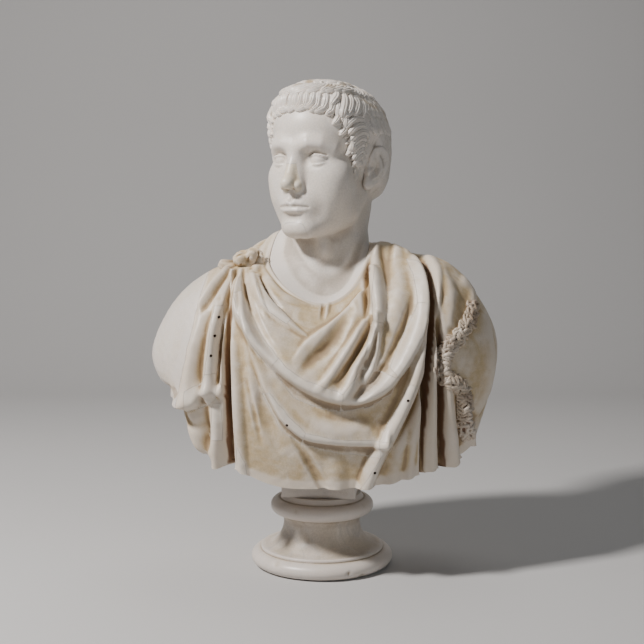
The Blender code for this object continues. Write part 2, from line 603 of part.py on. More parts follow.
def from_head_frame(p):
    c = math.cos(HEAD_TURN)
    s = math.sin(HEAD_TURN)
    p = np.asarray(p, float)
    turned = np.stack([p[..., 0] * c - p[..., 1] * s, p[..., 0] * s + p[..., 1] * c, p[..., 2]], -1)
    return turned + HEAD_PLACE


def neck(p):
    """Neck, its two front muscles and the throat, in the bust's frame with heights from eye level."""
    r = p - HEAD_PLACE
    d = chain(r, [(0.002, 0.026, -0.052), (0.000, 0.004, -0.207)], [0.0545, 0.0600])
    d = join(d, chain(r, [(-0.040, 0.020, -0.060), (-0.009, -0.048, -0.202)], [0.016, 0.013]), 0.020)
    d = join(d, chain(r, [(0.052, 0.020, -0.070), (0.014, -0.048, -0.202)], [0.014, 0.013]), 0.020)
    return join(d, ellipsoid(r, (-0.006, -0.048, -0.127), (0.010, 0.012, 0.016)), 0.016)


def head_distance(p):
    local = in_head_frame(p)
    mirrored = local.copy()
    mirrored[..., 0] = np.abs(mirrored[..., 0])
    d = eyes(skull(local, mirrored), mirrored)
    d = nose(d, local, mirrored)
    d = mouth(d, local, mirrored)
    return join(d, neck(p), 0.014)


def carve_in(distance, origin, direction, far):
    """Where rays that come in from outside first meet a volume."""
    reach = np.full(direction.shape[:-1], far)
    for _ in range(48):
        reach = reach - 0.85 * np.clip(distance(origin + direction * reach[..., None]), -0.004, 0.020)
    return origin + direction * reach[..., None]


# Lower edge of the hair: degrees from the face's middle, and height above eye level in millimetres
HAIR_EDGE = [(0, 76), (25, 75), (42, 66), (52, 45), (58, 20), (63, -10), (72, -14), (76, 20), (82, 30),
             (100, 28), (108, -10), (118, -40), (140, -56), (180, -60)]
LOCK_PITCH = math.radians(11.0)
LOCK_LENGTH = 0.024


def hair_cover(points):
    """Thickness of the hair over points of the bald head, with a scalloped lower edge."""
    local = in_head_frame(points)
    azimuth = np.arctan2(local[..., 0], -local[..., 1])
    angles, heights = np.array(HAIR_EDGE, float).T
    edge = np.interp(np.degrees(np.abs(azimuth)), angles, heights * MM)
    scallop = 0.004 * np.abs(np.sin(0.5 * math.pi * azimuth / LOCK_PITCH))
    wave = 0.0015 * np.sin(2 * math.pi * (local[..., 2] / LOCK_LENGTH + azimuth / (2 * LOCK_PITCH)))
    above = local[..., 2] - edge
    fringe = FRINGE_THICKNESS * ease(-0.2, 0.8, np.cos(azimuth)) * (1.0 - ease(0.020, 0.060, above))
    return ease(-0.004, 0.006, above + scallop) * (HAIR_THICKNESS + wave + fringe)


def head_mesh():
    """Closed skin of the head block: tenon, collar of the neck, neck, head and hair."""
    angles = spread(HEAD_COLUMNS, (HEAD_TURN,), 0.75, 2.4)
    tenon = socket_rows(angles, NECK_BED)
    lip = tenon[-1]
    centre = HEAD_PLACE + np.array((0.0, 0.002, -FAN_DROP))
    flat = np.stack([np.sin(angles), -np.cos(angles), np.zeros_like(angles)], -1)
    ring_height = lip[:, 2] + COLLAR_SHARE * (centre[2] - lip[:, 2])
    start = np.stack([0 * angles + centre[0], 0 * angles + centre[1], ring_height], -1)
    ring = carve_in(head_distance, start, flat, HEAD_FAR)
    collar = []
    bend = np.stack([ring[:, 0] * 1.04, ring[:, 1] * 1.04, 0.75 * lip[:, 2] + 0.25 * ring_height], -1)
    for u in (0.35, 0.7):
        collar.append(lip * (1 - u) ** 2 + bend * 2 * u * (1 - u) + ring * u**2)
    # rays climb the neck while they tip down, then fan out over the head
    dip = np.minimum(math.tan(math.radians(52)), 0.6 * (centre[2] - ring_height) / 0.065)
    upper = []
    for u in np.arange(NECK_ROWS) / NECK_ROWS:
        upper.append((ring_height + (centre[2] - ring_height) * u, -np.arctan(dip * u)))
    lowest = -np.arctan(dip)
    for u in np.arange(HEAD_ROWS) / HEAD_ROWS:
        upper.append((0 * angles + centre[2], lowest + (0.5 * math.pi - lowest) * u))
    heights = np.array([row[0] for row in upper])
    tips = np.array([row[1] for row in upper])
    origin = np.stack([0 * heights + centre[0], 0 * heights + centre[1], heights], -1)
    level = np.cos(tips)[..., None] * flat[None]
    direction = level + np.stack([0 * tips, 0 * tips, np.sin(tips)], -1)
    bald = carve_in(head_distance, origin, direction, HEAD_FAR)
    skin = bald + direction * hair_cover(bald)[..., None]
    floor = (0.0, 0.0, lip_floor())
    crown_ray = carve_in(head_distance, centre, np.array([[0.0, 0.0, 1.0]]), HEAD_FAR)
    crown = crown_ray[0] + np.array((0.0, 0.0, HAIR_THICKNESS))
    return ring_skin(tenon + collar + list(skin), floor, crown, rising=True)


def lip_floor():
    return SEAT + SOCKET_FLOOR + NECK_BED


# Meshes and objects

def ring_skin(rows, first, last, rising):
    """Vertices and faces of stacked rings closed by a point at each end; rising rows run up the outside."""
    rows = np.array([np.asarray(row, float) for row in rows])
    count, around = rows.shape[:2]
    verts = np.vstack([rows.reshape(-1, 3), [first], [last]])
    faces = []
    for i in range(count - 1):
        for j in range(around):
            k = (j + 1) % around
            a, b, c, d = i * around + j, (i + 1) * around + j, (i + 1) * around + k, i * around + k
            faces += [(a, d, c), (a, c, b)] if rising else [(a, c, d), (a, b, c)]
    top = count * around
    for j in range(around):
        k = (j + 1) % around
        start = (top, k, j)
        end = (top + 1, (count - 1) * around + j, (count - 1) * around + k)
        faces.append(start if rising else start[::-1])
        faces.append(end if rising else end[::-1])
    return verts, faces


def turned(profile, sides):
    """Rows of a turned solid from its profile of radius and height, both ends on the axis."""
    angles = np.arange(sides) * 2 * math.pi / sides
    rows = []
    for radius, height in profile[1:-1]:
        rows.append(np.stack([radius * np.cos(angles), radius * np.sin(angles), 0 * angles + height], -1))
    first = (0.0, 0.0, profile[0][1])
    last = (0.0, 0.0, profile[-1][1])
    return ring_skin(rows, first, last, rising=True)


def stone(name, colour, roughness, metallic=0.0):
    material = bpy.data.materials.new(name)
    material.use_nodes = True
    shader = material.node_tree.nodes["Principled BSDF"]
    shader.inputs["Base Color"].default_value = (*colour, 1.0)
    shader.inputs["Roughness"].default_value = roughness
    shader.inputs["Metallic"].default_value = metallic
    material.diffuse_color = (*colour, 1.0)
    return material


def add_object(name, verts, faces, material):
    mesh = bpy.data.meshes.new(name)
    mesh.from_pydata([tuple(v) for v in verts], [], faces)
    mesh.materials.append(material)
    mesh.shade_smooth()
    mesh.set_sharp_from_angle(angle=math.radians(40))
    piece = bpy.data.objects.new(name, mesh)
    bpy.context.collection.objects.link(piece)
    return piece


def add_cutter(name, verts, faces):
    mesh = bpy.data.meshes.new(name)
    mesh.from_pydata([tuple(v) for v in verts], [], faces)
    piece = bpy.data.objects.new(name, mesh)
    bpy.context.collection.objects.link(piece)
    piece.hide_render = True
    piece.display_type = "WIRE"
    return piece


def boolean(target, operand, operation):
    modifier = target.modifiers.new(f"{operation}_{operand.name}", "BOOLEAN")
    modifier.operation = operation
    modifier.solver = "EXACT"
    modifier.object = operand


def block(low, high, turn=0.0):
    """Vertices and faces of a box, turned about the vertical axis."""
    verts = []
    for z in (low[2], high[2]):
        for x, y in ((low[0], low[1]), (high[0], low[1]), (high[0], high[1]), (low[0], high[1])):
            across = x * math.cos(turn) - y * math.sin(turn)
            back = x * math.sin(turn) + y * math.cos(turn)
            verts.append((across, back, z))
    faces = [(0, 3, 2, 1), (4, 5, 6, 7), (0, 1, 5, 4), (1, 2, 6, 5), (2, 3, 7, 6), (3, 0, 4, 7)]
    return verts, faces


def rod(start, end, radius):
    """Vertices and faces of a round bar between two points."""
    start = np.array(start, float)
    end = np.array(end, float)
    axis = (end - start) / np.linalg.norm(end - start)
    helper = np.array((0.0, 0.0, 1.0)) if abs(axis[2]) < 0.9 else np.array((1.0, 0.0, 0.0))
    u = np.cross(helper, axis)
    u /= np.linalg.norm(u)
    w = np.cross(axis, u)
    angles = np.arange(ROD_SIDES) * 2 * math.pi / ROD_SIDES
    ring = radius * (np.cos(angles)[:, None] * u + np.sin(angles)[:, None] * w)
    return ring_skin([start + ring, end + ring], start, end, rising=True)


def offset(outline, distance):
    """Outline with every side moved out by a distance; the outline runs anticlockwise."""
    points = np.asarray(outline, float)
    if 0.5 * np.sum(points[:, 0] * np.roll(points[:, 1], -1) - np.roll(points[:, 0], -1) * points[:, 1]) < 0:
        points = points[::-1]
    ahead = np.roll(points, -1, axis=0) - points
    ahead /= np.linalg.norm(ahead, axis=1, keepdims=True)
    normal = np.stack([ahead[:, 1], -ahead[:, 0]], -1)
    before = np.roll(normal, 1, axis=0)
    mitre = normal + before
    mitre /= (1.0 + np.sum(normal * before, axis=1))[:, None]
    return points + distance * mitre


def prism(outline, front, back):
    """Vertices and faces of an outline in x and height, run through from front to back."""
    count = len(outline)
    verts = [(x, front, z) for x, z in outline] + [(x, back, z) for x, z in outline]
    faces = [tuple(range(count)), tuple(reversed(range(count, 2 * count)))]
    for j in range(count):
        k = (j + 1) % count
        faces.append((j, count + j, count + k, k))
    return verts, faces


# Pieces

def build_socle(marble):
    roll = np.linspace(-0.5 * math.pi, 0.5 * math.pi, 7)
    profile = [(0.0, 0.0)]
    inner = FOOT_RADIUS - FOOT_ROLL_DEPTH
    half = 0.5 * FOOT_ROLL_HEIGHT
    profile += [(inner + FOOT_ROLL_DEPTH * math.cos(a), half + half * math.sin(a)) for a in roll]
    fillet_top = FOOT_ROLL_HEIGHT + FILLET_HEIGHT
    profile += [(inner - 0.001, FOOT_ROLL_HEIGHT + 0.001), (inner - 0.001, fillet_top)]
    neck_start = inner - FILLET_STEP
    for a in np.linspace(0.0, 0.5 * math.pi, 6):
        radius = WAIST_RADIUS + (neck_start - WAIST_RADIUS) * (1.0 - math.sin(a))
        profile.append((radius, fillet_top + (WAIST_LEVEL - fillet_top) * (1.0 - math.cos(a))))
    cap_top = SOCLE_HEIGHT - TOP_RING_HEIGHT
    cap_inner = CAP_RADIUS - CAP_ROLL_DEPTH
    cap_half = 0.5 * CAP_ROLL_HEIGHT
    for u in (0.5, 1.0):
        profile.append((WAIST_RADIUS + 0.8 * (cap_inner - WAIST_RADIUS) * u**2,
                        WAIST_LEVEL + (cap_top - CAP_ROLL_HEIGHT - WAIST_LEVEL) * u))
    cap_middle = cap_top - cap_half
    profile += [(cap_inner + CAP_ROLL_DEPTH * math.cos(a), cap_middle + cap_half * math.sin(a)) for a in roll]
    profile += [(TOP_RING_RADIUS, cap_top), (TOP_RING_RADIUS, SOCLE_HEIGHT)]
    bore = SOCLE_DOWEL_RADIUS + CLEARANCE
    floor = SOCLE_HEIGHT - SOCLE_DOWEL_IN_SOCLE - CLEARANCE
    profile += [(bore, SOCLE_HEIGHT), (bore, floor), (0.0, floor)]
    return add_object("socle", *turned(profile, TURNED_SIDES), marble)


def build_tablet(marble):
    half = np.array((0.5 * TABLET_WIDTH, 0.5 * TABLET_DEPTH))
    top = TABLET_BOTTOM + TABLET_HEIGHT
    tablet = add_object("tablet", *block((*-half, TABLET_BOTTOM), (*half, top), TABLET_TURN), marble)
    bevel = tablet.modifiers.new("eased_edges", "BEVEL")
    bevel.width = TABLET_EDGE
    bevel.segments = 2
    hole = rod((0, 0, TABLET_BOTTOM - 0.01), (0, 0, SEAT + 0.01), SOCLE_DOWEL_RADIUS + CLEARANCE)
    boolean(tablet, add_cutter("tablet_hole", *hole), "DIFFERENCE")
    return tablet


def build_socle_dowel(iron):
    low = SOCLE_HEIGHT - SOCLE_DOWEL_IN_SOCLE
    high = SEAT + SOCLE_DOWEL_IN_BUST
    return add_object("socle_dowel", *rod((0, 0, low), (0, 0, high), SOCLE_DOWEL_RADIUS), iron)


def build_torso(marble):
    torso = add_object("torso", *torso_mesh(), marble)
    half = np.array((0.5 * PILLAR_WIDTH, 0.5 * PILLAR_DEPTH))
    pillar = block((*-half, SEAT), (*half, SEAT + 0.5 * (HOLLOW_TOP + SOCKET_FLOOR)))
    boolean(torso, add_cutter("pillar", *pillar), "UNION")
    dowel_hole = rod((0, 0, SEAT - 0.01), (0, 0, SEAT + SOCLE_DOWEL_IN_BUST + CLEARANCE),
                     SOCLE_DOWEL_RADIUS + CLEARANCE)
    boolean(torso, add_cutter("socle_dowel_hole", *dowel_hole), "DIFFERENCE")
    return torso


def surface_depth(tree, x, z):
    """Where a line of sight from the front at x, z meets the torso, or None where it passes by."""
    hit = tree.ray_cast(Vector((x, CUT_FRONT, z)), Vector((0.0, 1.0, 0.0)))[0]
    return hit.y if hit else None


def build_patches(torso, tree, marble, iron):
    """Every inset is the part of the draped block inside its outline; the block loses the same outline."""
    patches = {}
    backs = {}
    for name, outline in PATCHES.items():
        outline = to_metres(outline)
        met = [depth for depth in (surface_depth(tree, x, z) for x, z in outline) if depth is not None]
        back = min(max(met), np.median(met) + PATCH_DEEPEST) + PATCH_DEPTH
        backs[name] = back
        patch = add_object(name, *torso_mesh(), marble)
        inner = prism(offset(outline, -0.5 * CLEARANCE), CUT_FRONT, back - 0.5 * CLEARANCE)
        outer = prism(offset(outline, 0.5 * CLEARANCE), CUT_FRONT, back + 0.5 * CLEARANCE)
        boolean(patch, add_cutter(f"{name}_outline", *inner), "INTERSECT")
        boolean(torso, add_cutter(f"{name}_seat", *outer), "DIFFERENCE")
        patches[name] = patch
    for name, (patch, place) in FOLD_PINS.items():
        x, z = to_metres([place])[0]
        start = (x, surface_depth(tree, x, z) + FOLD_PIN_RECESS, z)
        end = (x, backs[patch] + FOLD_PIN_ANCHORAGE, z)
        add_object(name, *rod(start, end, FOLD_PIN_RADIUS), iron)
        hole = rod((x, CUT_FRONT, z), (x, end[1] + CLEARANCE, z), FOLD_PIN_RADIUS + CLEARANCE)
        cutter = add_cutter(f"{name}_hole", *hole)
        boolean(patches[patch], cutter, "DIFFERENCE")
        boolean(torso, cutter, "DIFFERENCE")


def build_arm(torso, marble, iron):
    outline = to_metres(ARM_OUTLINE)
    arm = add_object("right_arm", *torso_mesh(), marble)
    boolean(arm, add_cutter("arm_outline", *prism(offset(outline, -0.5 * CLEARANCE), CUT_FRONT, CUT_BACK)),
            "INTERSECT")
    boolean(torso, add_cutter("arm_seat", *prism(offset(outline, 0.5 * CLEARANCE), CUT_FRONT, CUT_BACK)),
            "DIFFERENCE")
    x, z = to_metres([ARM_DOWEL_PLACE])[0]
    start = np.array((x - ARM_DOWEL_HALF, 0.0, z))
    end = np.array((x + ARM_DOWEL_HALF, 0.0, z))
    add_object("arm_dowel", *rod(start, end, ARM_DOWEL_RADIUS), iron)
    slack = np.array((CLEARANCE, 0.0, 0.0))
    hole = add_cutter("arm_dowel_hole", *rod(start - slack, end + slack, ARM_DOWEL_RADIUS + CLEARANCE))
    boolean(arm, hole, "DIFFERENCE")
    boolean(torso, hole, "DIFFERENCE")


# The knot of the cloak on the right shoulder: round lumps of gathered cloth, millimetres from its middle
KNOT_MIDDLE = (-116, -22, 340)
KNOT_LUMPS = [((0, 0, 3), (18, 16, 15)), ((9, -6, 9), (11, 10, 10)), ((-9, -7, 6), (11, 11, 11)),
              ((12, 10, 10), (15, 14, 10)), ((-26, 4, -7), (17, 12, 8)), ((2, 6, -7), (17, 17, 15))]


def knot_middle():
    x, y, z = KNOT_MIDDLE
    across, up = to_metres([(x, z)])[0]
    return np.array((across, y * MM, up))


def knot_mesh():
    """Closed skin of the knot: rays from its middle out to the lumps."""
    middle = knot_middle()
    angles = np.arange(KNOT_COLUMNS) * 2 * math.pi / KNOT_COLUMNS
    tips = np.radians(np.linspace(-75, 75, KNOT_ROWS))
    level = np.cos(tips)[:, None, None] * np.stack([np.cos(angles), np.sin(angles), 0 * angles], -1)
    direction = level + np.sin(tips)[:, None, None] * np.array((0.0, 0.0, 1.0))

    def lumps(p):
        d = np.full(p.shape[:-1], 1.0)
        for place, radii in KNOT_LUMPS:
            d = join(d, ellipsoid(p, np.array(place) * MM, np.array(radii) * MM), 0.003)
        return d

    def reach_along(rays):
        reach = np.full(rays.shape[:-1], 0.06)
        for _ in range(40):
            reach = reach - 0.8 * np.clip(lumps(rays * reach[..., None]), -0.003, 0.01)
        return rays * reach[..., None] + middle

    poles = reach_along(np.array([[0.0, 0.0, -1.0], [0.0, 0.0, 1.0]]))
    return ring_skin(list(reach_along(direction)), poles[0], poles[1], rising=True)


def build_knot(torso, marble, iron):
    knot = add_object("shoulder_knot", *knot_mesh(), marble)
    boolean(knot, add_cutter("shoulder_under_knot", *torso_mesh(CLEARANCE)), "DIFFERENCE")
    x, y, z = knot_middle()
    foot = z - KNOT_FOOT
    low = np.array((x, y, foot - KNOT_PIN_HALF))
    high = np.array((x, y, foot + KNOT_PIN_HALF))
    add_object("knot_pin", *rod(low, high, KNOT_PIN_RADIUS), iron)
    slack = np.array((0.0, 0.0, CLEARANCE))
    cutter = add_cutter("knot_pin_hole", *rod(low - slack, high + slack, KNOT_PIN_RADIUS + CLEARANCE))
    boolean(knot, cutter, "DIFFERENCE")
    boolean(torso, cutter, "DIFFERENCE")


# Boxes in the head's frame that bound the two repairs of the face, in metres
NOSE_BOX = ((-0.0175, -0.150, -0.0500), (0.0175, -0.0985, -0.0060))
CHIN_BOX = ((-0.0200, -0.150, -0.1300), (0.0200, -0.0840, -0.0920))


def face_box(box, grow):
    verts, faces = block(np.array(box[0]) - grow, np.array(box[1]) + grow)
    return from_head_frame(verts), faces


def build_head(torso, marble, repair, iron):
    skin = head_mesh()
    head = add_object("head", *skin, marble)
    for name, box in (("nose", NOSE_BOX), ("chin", CHIN_BOX)):
        piece = add_object(f"{name}_repair", *skin, repair)
        boolean(piece, add_cutter(f"{name}_outline", *face_box(box, -0.5 * CLEARANCE)), "INTERSECT")
        boolean(head, add_cutter(f"{name}_seat", *face_box(box, 0.5 * CLEARANCE)), "DIFFERENCE")
        x, y, z = 0.5 * (box[0][0] + box[1][0]), box[1][1], 0.5 * (max(box[0][2], -0.110) + box[1][2])
        ends = from_head_frame([(x, y - FACE_PIN_HALF, z), (x, y + FACE_PIN_HALF, z)])
        add_object(f"{name}_pin", *rod(ends[0], ends[1], FACE_PIN_RADIUS), iron)
        bore_half = FACE_PIN_HALF + CLEARANCE
        bore = from_head_frame([(x, y - bore_half, z), (x, y + bore_half, z)])
        hole = add_cutter(f"{name}_pin_hole", *rod(bore[0], bore[1], FACE_PIN_RADIUS + CLEARANCE))
        boolean(piece, hole, "DIFFERENCE")
        boolean(head, hole, "DIFFERENCE")
    for side, sign in (("right", -1), ("left", 1)):
        boolean(head, add_cutter(f"{side}_ear", *ear_mesh(sign)), "UNION")
    middle = SEAT + SOCKET_FLOOR
    low = np.array((0.0, 0.0, middle - NECK_DOWEL_HALF))
    high = np.array((0.0, 0.0, middle + NECK_DOWEL_HALF))
    add_object("neck_dowel", *rod(low, high, NECK_DOWEL_RADIUS), iron)
    slack = np.array((0.0, 0.0, CLEARANCE))
    hole = add_cutter("neck_dowel_hole", *rod(low - slack, high + slack, NECK_DOWEL_RADIUS + CLEARANCE))
    boolean(head, hole, "DIFFERENCE")
    boolean(torso, hole, "DIFFERENCE")


def main():
    for piece in list(bpy.data.objects):
        bpy.data.objects.remove(piece)
    head_marble = stone("cool_white_marble", (0.74, 0.72, 0.69), 0.45)
    torso_marble = stone("stained_cream_marble", (0.62, 0.53, 0.41), 0.5)
    arm_marble = stone("pale_warm_marble", (0.70, 0.65, 0.57), 0.5)
    patch_marble = stone("white_repair_marble", (0.70, 0.66, 0.59), 0.48)
    face_repair = stone("cream_repair_marble", (0.68, 0.60, 0.47), 0.5)
    socle_marble = stone("grey_white_marble", (0.60, 0.57, 0.52), 0.45)
    iron = stone("iron", (0.09, 0.07, 0.06), 0.65, metallic=1.0)
    build_socle(socle_marble)
    build_tablet(socle_marble)
    build_socle_dowel(iron)
    torso = build_torso(torso_marble)
    skin = torso_mesh()
    tree = BVHTree.FromPolygons([tuple(v) for v in skin[0]], skin[1])
    build_patches(torso, tree, patch_marble, iron)
    build_arm(torso, arm_marble, iron)
    build_knot(torso, torso_marble, iron)
    build_head(torso, head_marble, face_repair, iron)


main()
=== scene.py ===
"""Looks of the marble bust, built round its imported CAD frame.

Metres, +Z up, front towards -Y. Design points of the drapery are in millimetres, x across and z above
the seat of the bust; those of the hair are in the head's own frame, with eye level at z = 0.
"""

import math
from collections import namedtuple

import bpy
import numpy as np
from bpy.props import FloatProperty, FloatVectorProperty, IntProperty, PointerProperty
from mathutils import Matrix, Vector


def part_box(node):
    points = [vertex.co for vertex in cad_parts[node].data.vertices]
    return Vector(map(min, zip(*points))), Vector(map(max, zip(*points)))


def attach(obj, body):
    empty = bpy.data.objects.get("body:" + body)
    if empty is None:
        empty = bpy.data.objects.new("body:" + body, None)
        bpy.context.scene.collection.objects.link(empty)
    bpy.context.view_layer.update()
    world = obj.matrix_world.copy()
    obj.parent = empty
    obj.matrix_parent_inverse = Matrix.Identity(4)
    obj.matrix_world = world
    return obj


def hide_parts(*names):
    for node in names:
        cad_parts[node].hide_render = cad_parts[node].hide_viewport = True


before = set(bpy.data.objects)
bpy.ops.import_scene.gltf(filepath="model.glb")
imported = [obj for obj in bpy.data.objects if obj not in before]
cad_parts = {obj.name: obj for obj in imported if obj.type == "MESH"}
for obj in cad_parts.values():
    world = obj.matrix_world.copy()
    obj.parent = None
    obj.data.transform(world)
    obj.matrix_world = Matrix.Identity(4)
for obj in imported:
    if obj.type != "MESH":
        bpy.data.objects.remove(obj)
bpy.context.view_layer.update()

bl_info = {
    "name": "Marble bust",
    "version": (1, 0, 0),
    "blender": (4, 5, 0),
    "location": "3D View > Sidebar > Marble bust",
    "description": "Builds the carved surfaces, stones and stage of a draped marble bust",
    "category": "Object",
}

MM = 0.001
SOCLE_LOW, SOCLE_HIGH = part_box("socle")
TABLET_LOW, TABLET_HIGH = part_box("tablet")
CLEARANCE = TABLET_LOW.z - SOCLE_HIGH.z
SEAT = TABLET_HIGH.z + CLEARANCE

# Torso block: reaches from the axis, walls of the hollow, socket of the neck, back pillar, and sections as
# shares of the reach and heights above the seat
CHEST_REACH = 0.150
BACK_REACH = 0.118
RIGHT_REACH = 0.262
LEFT_REACH = 0.271
FRONT_WALL = 0.044
SIDE_WALL = 0.075
BACK_WALL = 0.030
HOLLOW_TOP = 0.200
SOCKET_FLOOR = 0.236
SOCKET_FLOOR_RADIUS = 0.030
PLAN_POWER = 2.3
PILLAR_WIDTH = 0.096
PILLAR_DEPTH = 0.084
FRONT_SECTION = [(0.56, 0.280), (0.75, 0.262), (0.92, 0.222), (1.00, 0.160), (1.00, 0.085), (0.93, 0.010)]
RIGHT_SECTION = [(0.31, 0.338), (0.48, 0.338), (0.69, 0.320), (0.89, 0.270), (1.00, 0.195), (0.86, 0.132)]
LEFT_SECTION = [(0.27, 0.354), (0.46, 0.350), (0.71, 0.338), (0.91, 0.277), (1.00, 0.200), (0.88, 0.060)]
BACK_SECTION = [(0.53, 0.382), (0.75, 0.368), (0.90, 0.336), (0.98, 0.296), (1.00, 0.245), (0.92, 0.188)]

# Cloth drawn up round the neck: degrees from the front, width in degrees, and rise in metres
COLLAR_RISES = [(-122, 24, 0.024), (72, 30, 0.014)]

# Head, turned to the sitter's right: its place at eye level, the collar of the neck, and the repairs
HEAD_TURN = math.radians(-33.0)
HEAD_PLACE = np.array([0.008, 0.002, SEAT + 0.492])
FAN_DROP = 0.027
COLLAR_SHARE = 0.25
NECK_BED = 0.0009
NOSE_BOX = ((-0.0205, -0.150, -0.0500), (0.0205, -0.0965, -0.0060))
CHIN_BOX = ((-0.0200, -0.150, -0.1300), (0.0200, -0.0840, -0.0920))

# Insets: how far they go in behind their rim, how deep that may be at most, where their cutters start and
# end, and the pins that hold them
PATCH_DEPTH = 0.010
PATCH_DEEPEST = 0.030
CUT_FRONT = -0.260
CUT_BACK = 0.200
FOLD_PIN_RADIUS = 0.0019
FOLD_PIN_ANCHORAGE = 0.012
FOLD_PIN_RECESS = 0.0012

# Camera, and lamps as place, size, power and tint
LENS = 65.24
SENSOR = 36.0
CAMERA_PLACE = (0.0, -1.80, 0.565)
CAMERA_TARGET = (0.0, 0.0, 0.380)
LAMP_TARGET = (0.0, 0.0, 0.42)
LAMPS = {
    "key": ((-1.56, -1.08, 2.16), 0.26, 114.0, (1.0, 0.96, 0.935)),
    "fill": ((1.90, -1.80, 1.00), 1.6, 8.0, (0.92, 0.96, 1.0)),
    "top": ((0.30, 0.70, 2.40), 1.2, 9.0, (1.0, 0.98, 0.95)),
}

# A ridge is a rounded fold along a path; left and right stretch its flanks, and lean tips its crest over
# to the right. A cleft is a deep gap between folds, drawn together at its mouth by pinch. A lip is the
# rounded edge of an upper layer of cloth, which lies on the left of its path and falls off over reach.
# Widths, heights and reaches run evenly from the start of the path to its end.
Ridge = namedtuple("Ridge", "path width height left right power lean", defaults=(1.0, 1.0, 1.2, 0.0))
Cleft = namedtuple("Cleft", "path width depth pinch")
Lip = namedtuple("Lip", "path height reach around lean", defaults=(0.3,))

